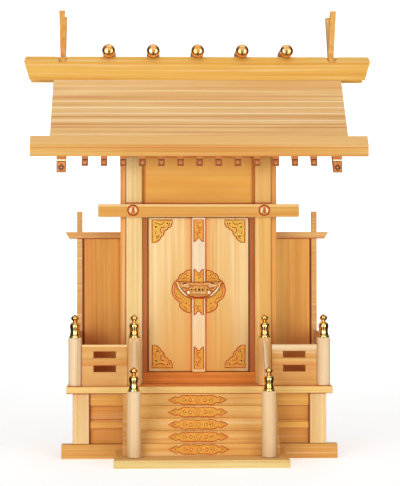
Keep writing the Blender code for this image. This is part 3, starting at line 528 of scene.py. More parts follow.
class Draft:
    """A plate being drafted in its own plane: slabs, strokes and bosses, each a closed shell."""

    STROKE_SECTION = ((-1, 0), (-0.72, 0.68), (0, 1), (0.72, 0.68), (1, 0))
    GROOVE_HEIGHT = 0.06
    GROOVE_SINK = 0.02
    GROOVE_DARK = 0.58
    # The sides of slabs and the feet of strokes and bosses are dark: painted shade.
    BACK_DARK = 0.8
    FOOT_DARK = 0.5
    BOSS_FOOT_DARK = 0.55
    BOSS_ANGLES = (30, 60)
    PIT_SIDES = 12
    CURL_STEPS = 18
    CURL_EYE = 0.22
    LEAF_STEPS = 8
    LEAF_THIN = 0.08

    def __init__(self, plane: Plane) -> None:
        """Start an empty draft on a plane."""
        self.plane = plane
        self.points: list[Vector] = []
        self.hollows: list[float] = []
        self.faces: list[tuple[int, ...]] = []

    def row(self, flat: Iterable[Point], out: float, hollow: float) -> list[int]:
        """Add corners that stand out of the plane by the same height.

        Args:
            flat: The corners in the plane.
            out: Their height out of it.
            hollow: How dark they are.

        Returns:
            Their places in the draft.
        """
        start = len(self.points)
        self.points += [self.plane.place(u, v, out) for u, v in flat]
        self.hollows += [hollow] * (len(self.points) - start)
        return list(range(start, len(self.points)))

    def bridge(self, lower: Sequence[int], upper: Sequence[int]) -> None:
        """Join two closed rows by faces."""
        for index in range(len(lower)):
            after = (index + 1) % len(lower)
            self.faces.append((lower[index], lower[after], upper[after], upper[index]))

    def slab(
        self,
        outline: Sequence[Point],
        low: float,
        high: float,
        hollow: float,
        holes: Sequence[Sequence[Point]] = (),
    ) -> None:
        """A plate with an outline and holes right through it.

        Args:
            outline: The outline.
            low: Height of its back.
            high: Height of its face.
            hollow: How dark its face is.
            holes: The outlines of the holes.
        """
        loops = [list(outline), *[list(hole) for hole in holes]]
        triangles = tessellate_polygon([[Vector((u, v, 0)) for u, v in loop] for loop in loops])
        layers = []
        # A dark back puts painted shade on the slab's sides.
        for height, dark in ((low, self.BACK_DARK), (high, hollow)):
            rows = [self.row(loop, height, dark) for loop in loops]
            flat = [index for row in rows for index in row]
            self.faces += [tuple(flat[corner] for corner in triangle) for triangle in triangles]
            layers.append(rows)
        for lower, upper in zip(*layers):
            self.bridge(lower, upper)

    def stroke(
        self,
        path: Sequence[Point],
        widths: float | Sequence[float],
        height: float,
        low: float = 0.0,
        closed: bool = False,
        dark: float = 0.0,
    ) -> None:
        """A rounded stroke along a path, with painted shade at its feet and brighter on its back.

        Args:
            path: The middle line.
            widths: Its half width, or one for each point.
            height: How far its back stands above its feet.
            low: Height of its feet.
            closed: True if the path runs back to its start.
            dark: How dark its back is; below zero it is a painted highlight.
        """
        count = len(path)
        halves = [widths] * count if isinstance(widths, (int, float)) else list(widths)
        sections = []
        for index, (u, v) in enumerate(path):
            before = path[index - 1] if closed or index else path[0]
            after = path[(index + 1) % count] if closed or index < count - 1 else path[-1]
            along = heading(before, after)
            half = halves[index]
            rise = height * min(1.0, half / max(halves) + 0.35)
            ring = []
            for share, lift in self.STROKE_SECTION:
                foot = (u - along.y * half * share, v + along.x * half * share)
                ring += self.row([foot], low + rise * lift, dark if lift else max(dark, self.FOOT_DARK))
            sections.append(ring)
        pairs = list(zip(sections, sections[1:]))
        if closed:
            pairs.append((sections[-1], sections[0]))
        for first, second in pairs:
            self.bridge(first, second)
        if not closed:
            self.faces += [tuple(sections[0]), tuple(reversed(sections[-1]))]

    def groove(
        self,
        path: Sequence[Point],
        half: float,
        low: float,
        dark: float = GROOVE_DARK,
        closed: bool = False,
    ) -> None:
        """A dark line along a path.

        Args:
            path: The middle line.
            half: Its half width.
            low: Height of the ground that it is cut in.
            dark: How dark it is.
            closed: True if the path runs back to its start.
        """
        steps = len(path) - 1
        shares = [min(1.0, 0.45 + 4 * min(at, steps - at) / steps) for at in range(steps + 1)]
        widths = half if closed else [half * share for share in shares]
        self.stroke(path, widths, self.GROOVE_HEIGHT, low - self.GROOVE_SINK, closed, dark)

    def boss(
        self,
        centre: Point,
        radius: float,
        height: float,
        low: float = 0.0,
        sides: int = 10,
        dark: float = 0.0,
    ) -> None:
        """A small dome.

        Args:
            centre: Its middle.
            radius: Its radius.
            height: How far it stands up.
            low: Height of its foot.
            sides: Corners round it.
            dark: How dark its top is.
        """
        rings = [self.row(circle(centre, radius, sides), low, max(dark, self.BOSS_FOOT_DARK))]
        for angle in self.BOSS_ANGLES:
            turn = math.radians(angle)
            lifted = low + height * math.sin(turn)
            rings.append(self.row(circle(centre, radius * math.cos(turn), sides), lifted, dark))
        for lower, upper in zip(rings, rings[1:]):
            self.bridge(lower, upper)
        top = self.row([centre], low + height, dark)[0]
        self.faces += [(rings[-1][side], rings[-1][(side + 1) % sides], top) for side in range(sides)]
        self.faces.append(tuple(reversed(rings[0])))

    def pit(self, centre: Point, radius: float, low: float) -> None:
        """Painted shade for a pierced hole: a black-brown disc with a thin bright rim."""
        self.slab(circle(centre, radius, self.PIT_SIDES), low - 0.05, low + 0.04, 1.0)
        self.stroke(circle(centre, radius * 1.12, self.PIT_SIDES), radius * 0.22, 0.2, low, closed=True)

    def curls(
        self, curls: Iterable[Curl], thick: float, height: float, low: float, across: int = 1, up: int = 1
    ) -> None:
        """Scrolls, each with a bead in its eye, mirrored by signs.

        Args:
            curls: For each the eye, the radius and the angle where it starts, in degrees, and its full
                turns, clockwise if negative.
            thick: Half width at its thickest.
            height: How far it stands up.
            low: Height of its feet.
            across: -1 to mirror left and right.
            up: -1 to mirror up and down.
        """
        steps = self.CURL_STEPS
        shares = [(1.0 - 0.55 * step / steps) * min(1.0, 0.3 + step / 4) for step in range(steps + 1)]
        for centre, outer, start, turns in curls:
            angle = start if across > 0 else 180 - start
            angle = angle if up > 0 else -angle
            centre = flipped([centre], across, up)[0]
            path = scroll(centre, (outer, outer * self.CURL_EYE), angle, turns * across * up, steps)
            self.stroke(path, [thick * share for share in shares], height, low)
            self.boss(centre, outer * 0.24, height * 1.1, low, 8)

    def pits(self, pits: Iterable[tuple[Point, float]], low: float, across: int = 1, up: int = 1) -> None:
        """Pits from their middles and radii, mirrored by signs."""
        for centre, radius in pits:
            self.pit(flipped([centre], across, up)[0], radius, low)

    def grooves(
        self,
        paths: Iterable[Iterable[Point]],
        half: float,
        low: float,
        across: int = 1,
        up: int = 1,
        dark: float = GROOVE_DARK,
    ) -> None:
        """Grooves of one width, mirrored by signs.

        Args:
            paths: Their middle lines.
            half: Their half width.
            low: Height of the ground that they are cut in.
            across: -1 to mirror left and right.
            up: -1 to mirror up and down.
            dark: How dark they are.
        """
        for path in paths:
            self.groove(flipped(path, across, up), half, low, dark)

    def leaf(self, foot: Point, tip: Point, bend: float, thick: float, height: float, low: float) -> None:
        """A pointed leaf.

        Args:
            foot: Where it grows from.
            tip: Its point.
            bend: How far its middle is pushed to the left of the line from foot to tip.
            thick: Half width at its widest.
            height: How far it stands up.
            low: Height of its feet.
        """
        run = (tip[0] - foot[0], tip[1] - foot[1])
        length = math.hypot(*run)

        def place(share: float) -> Point:
            """The leaf's middle line at a share of its length."""
            push = bend * math.sin(math.pi * share) / length
            return foot[0] + run[0] * share - run[1] * push, foot[1] + run[1] * share + run[0] * push

        path = sampled(self.LEAF_STEPS, place)
        self.stroke(path, swollen(self.LEAF_STEPS, thick, self.LEAF_THIN), height, low)

    def piece(self, name: str, finish: Material, crease: float = 50) -> Object:
        """The draft as a piece.

        Args:
            name: The piece's name.
            finish: Its material.
            crease: Degrees past which an edge stays sharp.

        Returns:
            The piece.
        """
        piece = mesh_piece(name, self.points, self.faces, crease)
        hollow = piece.data.attributes.new("hollow", "FLOAT", "POINT")
        hollow.data.foreach_set("value", self.hollows)
        piece.data.materials.append(finish)
        return piece


class PieceTree:
    """A Geometry Nodes tree that sets copies of one piece out and joins them into a plain mesh."""

    def __init__(self, name: str, sizes: dict[str, str]) -> None:
        """Make the tree with its named inputs.

        Args:
            name: The tree's name.
            sizes: The kinds of its own inputs, by name.
        """
        self.tree = bpy.data.node_groups.new(name, "GeometryNodeTree")
        kinds = {"Geometry": "NodeSocketGeometry", **sizes}
        kinds |= {"Piece": "NodeSocketObject", "Finish": "NodeSocketMaterial"}
        for title, kind in kinds.items():
            self.tree.interface.new_socket(title, in_out="INPUT", socket_type=kind)
        self.tree.interface.new_socket("Geometry", in_out="OUTPUT", socket_type="NodeSocketGeometry")
        self.given = add_node(self.tree, "NodeGroupInput")

    def close(self, points: Socket) -> None:
        """End the tree: the piece on every point, realized and with its finish."""
        tree, given = self.tree, self.given
        piece = add_node(tree, "GeometryNodeObjectInfo", {"Object": given.outputs["Piece"]})
        copies = {"Points": points, "Instance": piece.outputs["Geometry"]}
        copies = add_node(tree, "GeometryNodeInstanceOnPoints", copies).outputs["Instances"]
        joined = add_node(tree, "GeometryNodeRealizeInstances", {"Geometry": copies}).outputs["Geometry"]
        worn = {"Geometry": joined, "Material": given.outputs["Finish"]}
        worn = add_node(tree, "GeometryNodeSetMaterial", worn).outputs["Geometry"]
        add_node(tree, "NodeGroupOutput", {"Geometry": worn})

    def run(self, name: str, carrier: Object, values: dict[str, object]) -> Object:
        """Set pieces out with the tree, as a plain mesh.

        Args:
            name: The new piece's name.
            carrier: The object whose mesh the tree is given, used up here as the piece is.
            values: The values of the inputs, by name.

        Returns:
            The new piece.
        """
        modifier = carrier.modifiers.new("set_out", "NODES")
        modifier.node_group = self.tree
        for item in self.tree.interface.items_tree:
            if item.in_out == "INPUT" and item.name in values:
                modifier[item.identifier] = values[item.name]
        bpy.context.view_layer.update()
        view = bpy.context.evaluated_depsgraph_get()
        mesh = bpy.data.meshes.new_from_object(carrier.evaluated_get(view), depsgraph=view)
        for used in (carrier, values["Piece"]):
            bpy.data.objects.remove(used)
        return placed(name, mesh)


def row_tree() -> PieceTree:
    """Copies in a straight row.

    Returns:
        The tree, with the inputs Count, Start and Step.
    """
    sizes = {"Count": "NodeSocketInt", "Start": "NodeSocketVector", "Step": "NodeSocketVector"}
    row = PieceTree("pieces_in_a_row", sizes)
    line = {"Count": row.given.outputs["Count"]}
    line |= {"Start Location": row.given.outputs["Start"], "Offset": row.given.outputs["Step"]}
    row.close(add_node(row.tree, "GeometryNodeMeshLine", line, mode="OFFSET").outputs["Mesh"])
    return row


def edge_tree() -> PieceTree:
    """Copies at an even spacing along the carrier's edges.

    Returns:
        The tree, with the input Spacing.
    """
    edge = PieceTree("pieces_along_an_edge", {"Spacing": "NodeSocketFloat"})
    curve = add_node(edge.tree, "GeometryNodeMeshToCurve", {"Mesh": edge.given.outputs["Geometry"]})
    even = {"Curve": curve.outputs["Curve"], "Length": edge.given.outputs["Spacing"]}
    edge.close(add_node(edge.tree, "GeometryNodeCurveToPoints", even, mode="LENGTH").outputs["Points"])
    return edge


def carrier_of(*chains: Sequence[Vector], closed: bool = False) -> Object:
    """An object with chains of edges for a tree to follow.

    Args:
        *chains: The points of each chain.
        closed: True if the last point of each joins its first.

    Returns:
        The object.
    """
    points, edges = [], []
    for chain in chains:
        places = list(range(len(points), len(points) + len(chain)))
        points += [tuple(point) for point in chain]
        edges += list(zip(places, places[1:]))
        if closed:
            edges.append((places[-1], places[0]))
    mesh = bpy.data.meshes.new("carrier")
    mesh.from_pydata(points, edges, [])
    return placed("carrier", mesh)


def lathe(
    name: str, profile: Sequence[Point], foot: Vector, sides: int, lying: bool = False, crease: float = 40
) -> Object:
    """A piece turned on a lathe.

    Args:
        name: The piece's name.
        profile: Radius and height, from the foot up.
        foot: The middle of its foot.
        sides: Facets round it.
        lying: True if its axis runs along +Y instead of up.
        crease: Degrees past which an edge stays sharp.

    Returns:
        The piece.
    """
    points, rings, faces = [], [], []
    for radius, height in profile:
        start = len(points)
        flat = circle((0.0, 0.0), radius, sides) if radius > TINY else [(0.0, 0.0)]
        points += [foot + (Vector((u, height, -v)) if lying else Vector((u, v, height))) for u, v in flat]
        rings.append(list(range(start, len(points))))
    for lower, upper in zip(rings, rings[1:]):
        for side in range(sides):
            after = (side + 1) % sides
            corners = [lower[side % len(lower)], lower[after % len(lower)]]
            corners += [upper[after % len(upper)], upper[side % len(upper)]]
            faces.append(tuple(dict.fromkeys(corners)))
    faces += [tuple(ring) for ring in (rings[0], rings[-1]) if len(ring) > 1]
    return mesh_piece(name, points, faces, crease)


def prism_faces(start: int, count: int) -> list[tuple[int, ...]]:
    """The faces of a prism whose two ends are rows of points, one after the other.

    Args:
        start: Place of its first point.
        count: Points in each end.

    Returns:
        The faces.
    """
    far = start + count
    faces = [tuple(range(start, far)), tuple(range(far + count - 1, far - 1, -1))]
    sides = [(at, (at + 1) % count) for at in range(count)]
    return faces + [(start + at, start + after, far + after, far + at) for at, after in sides]


def pair(stem: str) -> list[str]:
    """The names of the two nodes that share a stem, left and right."""
    return [f"{stem}_{side.word}" for side in Side]


def box_of(node: str) -> tuple[Vector, Vector, Vector]:
    """Lowest corner, highest corner and middle of a node."""
    low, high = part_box(node)
    return low, high, (low + high) / 2


def settle(
    piece: Object, body: Body, replaces: Sequence[str] = (), finish: Material | None = None
) -> None:
    """Give a finished piece its body and what it stands for.

    Args:
        piece: The piece.
        body: The body that it rides on.
        replaces: The nodes that it stands for.
        finish: Its material, if it has none yet.
    """
    if finish:
        piece.data.materials.clear()
        piece.data.materials.append(finish)
    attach(piece, body.value)
    if replaces:
        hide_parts(*replaces)
    LOG.info("%s: %d faces, on %s", piece.name, len(piece.data.polygons), body.value)


# Tones of painted shade: in the seams between boards, and in the doorway's corners.
SEAM_SHADE = srgb(176, 66, 28)
SHADE = srgb(96, 38, 26)

POST_WOOD = WoodFinish(
    "post_cypress",
    srgb(231, 202, 162),
    srgb(225, 190, 143),
    srgb(205, 161, 111),
    fibre_share=0.12,
)
# Painted shadow lines on the neck: one just above the lintel, one under the eave.
NECK_SHADOW_LINES = (Band("Z", 0.2829, 0.0009, SEAM_SHADE, 0.9), Band("Z", 0.3358, 0.0012, SEAM_SHADE, 0.6))
PILLAR_WOOD = WoodFinish(
    "pillar_cypress",
    srgb(238, 209, 147),
    srgb(229, 191, 122),
    srgb(215, 163, 93),
    bands=NECK_SHADOW_LINES,
)
DEEP_PILLAR_WOOD = WoodFinish(
    "deep_pillar_cypress",
    srgb(230, 181, 102),
    srgb(223, 166, 85),
    srgb(210, 142, 64),
    bands=NECK_SHADOW_LINES,
)
BASE_POST_WOOD = WoodFinish("base_post_cypress", srgb(231, 196, 138), srgb(223, 179, 115), srgb(210, 153, 87))
LINTEL_WOOD = WoodFinish(
    "lintel_cypress",
    srgb(225, 171, 85),
    srgb(218, 157, 70),
    srgb(204, 133, 51),
    # A painted highlight along the lintel's top edge.
    bands=(Band("Z", 0.2803, 0.0016, srgb(244, 208, 138), 0.7, 0.0006),),
)
BEAM_WOOD = WoodFinish(
    "beam_cypress",
    srgb(226, 176, 108),
    srgb(219, 162, 92),
    srgb(204, 137, 68),
    # A painted shadow line along the beam's foot.
    bands=(Band("Z", 0.2441, 0.0006, SEAM_SHADE, 0.8),),
)
DOOR_WOOD = WoodFinish(
    "door_cypress",
    srgb(241, 209, 148),
    srgb(233, 190, 121),
    srgb(214, 148, 76),
    line_pitch=0.0028,
    line_share=0.8,
    pale_share=0.6,
    foot_tone=srgb(221, 160, 72),
    foot_heights=(0.08, 0.25),
    bands=(
        Band("X", 0.049, 0.006, srgb(246, 220, 166), 0.42, 0.006),
        # Painted shade beside the strip, and the strip's painted shadow lines.
        Band("X", 0.011, 0.0035, srgb(226, 152, 74), 0.65, 0.003),
        Band("X", 0.0083, 0.0007, srgb(212, 106, 44), 0.75),
        # A painted shadow line along the doors' foot.
        Band("Z", 0.0936, 0.0006, SHADE, 0.7),
    ),
)
STRIP_WOOD = WoodFinish(
    "strip_cypress",
    srgb(239, 214, 180),
    srgb(235, 205, 166),
    srgb(222, 183, 137),
    line_share=0.3,
    foot_tone=srgb(238, 198, 136),
    foot_heights=(0.1, 0.2),
)
ROOF_WOOD = WoodFinish(
    "roof_cypress",
    srgb(237, 193, 129),
    srgb(231, 181, 113),
    srgb(205, 135, 76),
    pale=srgb(254, 224, 172),
    line_pitch=0.0052,
    line_share=0.6,
    pale_share=0.6,
    wander=0.0008,
    bands=(
        *(Band("Z", z, 0.0006, srgb(252, 230, 190), 0.75) for z in (0.398, 0.3903, 0.3832, 0.375)),
        *(Band("Z", z, 0.0006, srgb(202, 122, 62), 0.7) for z in (0.379, 0.370, 0.3664)),
    ),
)
RIDGE_WOOD = WoodFinish(
    "ridge_cypress",
    srgb(231, 179, 83),
    srgb(225, 163, 66),
    srgb(212, 139, 47),
    line_pitch=0.003,
)
EAVE_WOOD = WoodFinish(
    "eave_cypress",
    srgb(221, 171, 90),
    srgb(215, 155, 74),
    srgb(190, 110, 46),
    line_pitch=0.0026,
    # Painted shade below the strip, painted light on the upward slope, and a painted shadow line at the
    # strip's foot.
    foot_tone=srgb(203, 108, 46),
    top_tone=srgb(242, 194, 125),
    bands=(Band("Z", 0.3424, 0.0006, srgb(204, 112, 50), 0.55),),
)
WALL_WOOD = WoodFinish("wall_cypress", srgb(234, 182, 112), srgb(226, 164, 90), srgb(206, 134, 68))
BASE_WOOD = WoodFinish("base_cypress", srgb(214, 158, 80), srgb(207, 145, 66), srgb(190, 117, 48))
UNDER_WOOD = WoodFinish(
    "under_cypress",
    srgb(235, 180, 87),
    srgb(228, 164, 73),
    srgb(209, 134, 53),
    bands=(
        # Painted shade in the recessed fields, painted shadow lines under the rails, and one beside the post.
        Band("Z", 0.0499, 0.0077, srgb(212, 132, 62), 0.5),
        Band("Z", 0.0249, 0.0083, srgb(212, 132, 62), 0.45),
        Band("Z", 0.0575, 0.0006, SEAM_SHADE, 0.55),
        Band("Z", 0.0422, 0.0006, SEAM_SHADE, 0.7),
        Band("Z", 0.0330, 0.0005, SEAM_SHADE, 0.45),
        Band("X", 0.1211, 0.0008, SEAM_SHADE, 0.7),
    ),
)
STAIR_WOOD = WoodFinish(
    "stair_cypress",
    srgb(234, 185, 105),
    srgb(226, 168, 86),
    srgb(209, 138, 62),
    line_pitch=0.0034,
    bands=(Band("X", 0.078, 0.006, srgb(206, 112, 52), 0.45, 0.008),),
)
FOOT_WOOD = WoodFinish(
    "foot_cypress",
    srgb(228, 208, 145),
    srgb(220, 190, 120),
    srgb(204, 156, 89),
    line_pitch=0.0034,
    # Painted shade on the top face.
    top_tone=srgb(236, 184, 109),
)
VERANDA_WOOD = WoodFinish(
    "veranda_cypress",
    srgb(241, 212, 141),
    srgb(233, 193, 115),
    srgb(215, 158, 85),
    line_pitch=0.0034,
    # Painted shade on the top face, and a painted shadow line under the front edge.
    top_tone=srgb(236, 148, 78),
    bands=(Band("Z", 0.0718, 0.0009, SEAM_SHADE, 0.9),),
)
UPPER_WOOD = WoodFinish(
    "upper_cypress",
    srgb(238, 181, 85),
    srgb(228, 162, 66),
    srgb(214, 141, 54),
    line_pitch=0.0046,
    line_share=0.2,
    pale_share=0.15,
    bands=(
        # Painted light at the top against the eave's shadow, and painted shade beside the pillars.
        Band("Z", 0.330, 0.010, srgb(255, 196, 104), 0.5, 0.008),
        Band("X", 0.0622, 0.0022, srgb(206, 108, 50), 0.7, 0.0012),
        *NECK_SHADOW_LINES,
    ),
)
WING_WOOD = WoodFinish(
    "wing_cypress",
    srgb(239, 174, 84),
    srgb(224, 153, 66),
    srgb(196, 115, 48),
    pale=srgb(253, 200, 106),
    # Painted shade towards the foot, where the railing shades the panel.
    foot_tone=srgb(206, 114, 54),
    foot_heights=(0.108, 0.150),
    bands=(
        # Painted light near the pillar, painted shade near the post, a painted shadow line by the pillar and
        # a dark painted shadow line beside the post.
        Band("X", 0.095, 0.005, srgb(255, 190, 92), 0.6, 0.012),
        Band("X", 0.126, 0.006, srgb(206, 118, 50), 0.45, 0.012),
        Band("X", 0.0901, 0.0006, SEAM_SHADE, 0.45),
        Band("X", 0.1320, 0.0013, srgb(112, 30, 18), 0.9),
    ),
)
# The right panel's copy of the wing wood, made lighter: painted light.
LIT_WING_WOOD = replace(
    WING_WOOD,
    name="lit_wing_cypress",
    light=srgb(254, 195, 101),
    tone=srgb(240, 172, 80),
    line=srgb(211, 131, 59),
    pale=srgb(255, 220, 126),
    foot_tone=srgb(226, 142, 74),
    bands=(
        # Painted light near the pillar, painted shade near the post, and a dark painted shadow line beside
        # the post.
        Band("X", 0.093, 0.004, srgb(255, 220, 124), 0.75, 0.014),
        Band("X", 0.120, 0.005, srgb(216, 152, 74), 0.5, 0.008),
        Band("X", 0.1320, 0.0013, srgb(112, 30, 18), 0.9),
    ),
)
FLANK_WOOD = WoodFinish(
    "flank_cypress",
    srgb(231, 164, 83),
    srgb(223, 150, 69),
    srgb(203, 122, 49),
    # Painted shade towards the foot.
    foot_tone=srgb(193, 104, 44),
    foot_heights=(0.108, 0.152),
)
CROSS_WOOD = WoodFinish(
    "cross_cypress",
    srgb(230, 176, 92),
    srgb(224, 158, 76),
    srgb(206, 130, 56),
    line_pitch=0.003,
)
UPPER_POST_WOOD = WoodFinish(
    "upper_post_cypress",
    srgb(232, 188, 128),
    srgb(222, 168, 100),
    srgb(198, 134, 68),
)
SILL_WOOD = WoodFinish(
    "sill_cypress",
    srgb(237, 153, 61),
    srgb(222, 132, 48),
    srgb(195, 103, 34),
    pale=srgb(252, 177, 77),
)
# The jamb's reddish wood, darkened further with painted shade for its deep recess and lighter towards the
# foot, with a painted shadow line by the doors and painted light on the head under the lintel.
JAMB_SHADE_WOOD = WoodFinish(
    "jamb_cypress",
    srgb(184, 106, 45),
    srgb(168, 88, 35),
    srgb(138, 66, 27),
    pale=srgb(210, 140, 74),
    line_pitch=0.0018,
    line_share=0.85,
    pale_share=0.7,
    foot_tone=srgb(194, 110, 54),
    foot_heights=(0.13, 0.22),
    bands=(
        Band("X", 0.0568, 0.0011, SHADE, 0.8),
        Band("Z", 0.276, 0.0095, srgb(232, 168, 96), 0.9),
    ),
)
BARREL_WOOD = WoodFinish("barrel_cypress", srgb(216, 152, 88), srgb(200, 130, 66), srgb(168, 102, 48))
RAIL_WOOD = WoodFinish(
    "rail_cypress",
    srgb(222, 171, 101),
    srgb(214, 156, 83),
    srgb(198, 131, 63),
    line_pitch=0.003,
    bands=(
        # A painted highlight along the top edge.
        Band("Z", 0.1246, 0.0012, srgb(250, 212, 148), 0.75),
        Band("Z", 0.1038, 0.0024, srgb(214, 130, 58), 0.35),
    ),
)

GOLD = BrassFinish(
    "gilt_brass",
    srgb(255, 222, 96),
    srgb(250, 160, 48),
    srgb(176, 50, 16),
    srgb(40, 12, 12),
)
CAP_BRASS = BrassFinish(
    "cap_brass",
    srgb(222, 144, 65),
    srgb(198, 111, 46),
    srgb(112, 30, 14),
    srgb(51, 17, 9),
)
AMBER_BRASS = BrassFinish(
    "amber_brass",
    srgb(255, 199, 83),
    srgb(246, 155, 52),
    srgb(190, 63, 17),
    srgb(40, 12, 10),
)
LOCK_BRASS = replace(AMBER_BRASS, name="lock_brass", bright=srgb(226, 170, 84), tarnish=srgb(206, 122, 50))
TURNED_GOLD = BrassFinish(
    "turned_brass",
    srgb(255, 216, 136),
    srgb(246, 178, 80),
    srgb(170, 70, 26),
    srgb(50, 22, 14),
    metal=1.0,
    roughness=0.1,
    cloud_cells=140.0,
)
LOG_BRASS = replace(
    TURNED_GOLD,
    name="log_brass",
    bright=srgb(255, 198, 128),
    tarnish=srgb(248, 160, 76),
    roughness=0.2,
)


@dataclass
class Boards:
    """The wooden nodes that keep their own shape, with the finish and the grain of each."""

    first_seed: int = 3
    strip_rise: float = 0.018
    strip_soft: float = 0.0004

    def rows(self) -> list[tuple[WoodFinish, Grain, list[str]]]:
        """Which finish and grain the nodes have.

        Returns:
            Finish, grain and node names.
        """
        crossed = [f"{board}_{lean}" for board in pair("crossed_board") for lean in ("front", "back")]
        return [
            (BASE_WOOD, Grain.ALONG_X, ["base_board", "base_back_board"]),
            (UNDER_WOOD, Grain.ALONG_X, pair("base_front_panel")),
            (BASE_WOOD, Grain.ALONG_Y, pair("base_side_panel")),
            (BASE_POST_WOOD, Grain.ALONG_Z, pair("base_post")),
            (STAIR_WOOD, Grain.ALONG_X, ["staircase"]),
            (FOOT_WOOD, Grain.ALONG_X, ["foot_board"]),
            (VERANDA_WOOD, Grain.ALONG_X, ["veranda_floor"]),
            (RAIL_WOOD, Grain.ALONG_X, pair("front_railing")),
            (WALL_WOOD, Grain.ALONG_Y, pair("side_railing")),
            (POST_WOOD, Grain.DOWN_STAIRS, pair("stair_rail")),
            (BEAM_WOOD, Grain.ALONG_X, pair("wing_frame")),
            (PILLAR_WOOD, Grain.ALONG_Z, ["pillar_left"]),
            (DEEP_PILLAR_WOOD, Grain.ALONG_Z, ["pillar_right"]),
            (FLANK_WOOD, Grain.ALONG_Z, pair("side_wall")),
            (WALL_WOOD, Grain.ALONG_Z, ["back_wall"]),
            (SILL_WOOD, Grain.ALONG_X, ["door_sill"]),
            (JAMB_SHADE_WOOD, Grain.ALONG_Z, ["door_frame"]),
            (UPPER_WOOD, Grain.ALONG_X, ["upper_panel"]),
            (LINTEL_WOOD, Grain.ALONG_X, ["lintel"]),
            (DOOR_WOOD, Grain.ALONG_Z, pair("door")),
            (STRIP_WOOD, Grain.ALONG_Z, ["door_strip"]),
            (ROOF_WOOD, Grain.ALONG_X, ["roof_front", "roof_back"]),
            (self.eave_wood("front"), Grain.ALONG_X, ["eave_front"]),
            (self.eave_wood("back"), Grain.ALONG_X, ["eave_back"]),
            (RIDGE_WOOD, Grain.ALONG_X, ["ridge_beam"]),
            (CROSS_WOOD, Grain.ALONG_Z, crossed),
        ]

    def eave_wood(self, word: str) -> WoodFinish:
        """The front or the back eave's wood, with painted shade up to where its strip begins."""
        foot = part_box(f"eave_{word}")[0].z + self.strip_rise
        return replace(EAVE_WOOD, foot_heights=(foot - self.strip_soft, foot + self.strip_soft))

    def dress(self) -> None:
        """Give each of these nodes its own wood."""
        seed = self.first_seed
        for finish, grain, names in self.rows():
            for name in names:
                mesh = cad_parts[name].data
                mesh.materials.clear()
                mesh.materials.append(finish.material(grain, seed))
                seed += 1
                LOG.info("%s: %s, %s", name, finish.name, grain.name)


@dataclass
class RailPosts:
    """Six round posts, each under a turned brass finial with an onion knob."""

    sides: int = 56
    chamfer: float = 0.0007
    first_seed: int = 71

    def finial_profile(self, radius: float, height: float) -> list[Point]:
        """The finial's outline, scaled to its node.

        Args:
            radius: Radius of the foot flange.
            height: The whole height.

        Returns:
            Radius and height, from the foot up.
        """
        shape = [(0.94, 0.0), (1.0, 0.006), (1.0, 0.04), (0.975, 0.052), (0.93, 0.062), (0.895, 0.085)]
        shape += [(0.855, 0.12), (0.82, 0.16), (0.79, 0.2), (0.77, 0.24), (0.765, 0.262), (0.80, 0.27)]
        shape += [(0.812, 0.282), (0.80, 0.294), (0.765, 0.302), (0.785, 0.335), (0.83, 0.385), (0.865, 0.43)]
        shape += [(0.88, 0.47), (0.87, 0.515), (0.83, 0.555), (0.76, 0.59), (0.66, 0.617), (0.54, 0.636)]
        shape += [(0.42, 0.648), (0.35, 0.66), (0.335, 0.672), (0.375, 0.681), (0.39, 0.69), (0.375, 0.699)]
        shape += [(0.335, 0.708), (0.38, 0.724), (0.50, 0.745), (0.605, 0.768), (0.668, 0.8), (0.685, 0.832)]
        shape += [(0.665, 0.862), (0.60, 0.89), (0.50, 0.914), (0.38, 0.935), (0.26, 0.953), (0.15, 0.972)]
        shape += [(0.07, 0.988), (0.0, 1.0)]
        return [(radius * across, height * up) for across, up in shape]

    def build(self) -> None:
        """Make the posts and finials in place of their nodes."""
        gold = TURNED_GOLD.material()
        seed = self.first_seed
        for row in ("outer", "upper", "lower"):
            for side in Side:
                name = f"rail_post_{row}_{side.word}"
                low, high, middle = box_of(name)
                radius, height = (high.x - low.x) / 2, high.z - low.z
                profile = [(radius - self.chamfer, 0.0), (radius, self.chamfer / 2)]
                profile += [(radius, height - self.chamfer), (radius - self.chamfer, height)]
                foot = Vector((middle.x, middle.y, low.z))
                post = lathe(f"post_{row}_{side.word}", profile, foot, self.sides)
                wood = UPPER_POST_WOOD if row == "upper" else POST_WOOD
                settle(post, Body.ALTAR, [name], wood.material(Grain.ALONG_Z, seed))
                seed += 1
                name = f"finial_{row}_{side.word}"
                low, high, middle = box_of(name)
                profile = self.finial_profile((high.x - low.x) / 2, high.z - low.z)
                foot = Vector((middle.x, middle.y, low.z))
                finial = lathe(f"giboshi_{row}_{side.word}", profile, foot, self.sides, crease=50)
                settle(finial, Body.ALTAR, [name], gold)


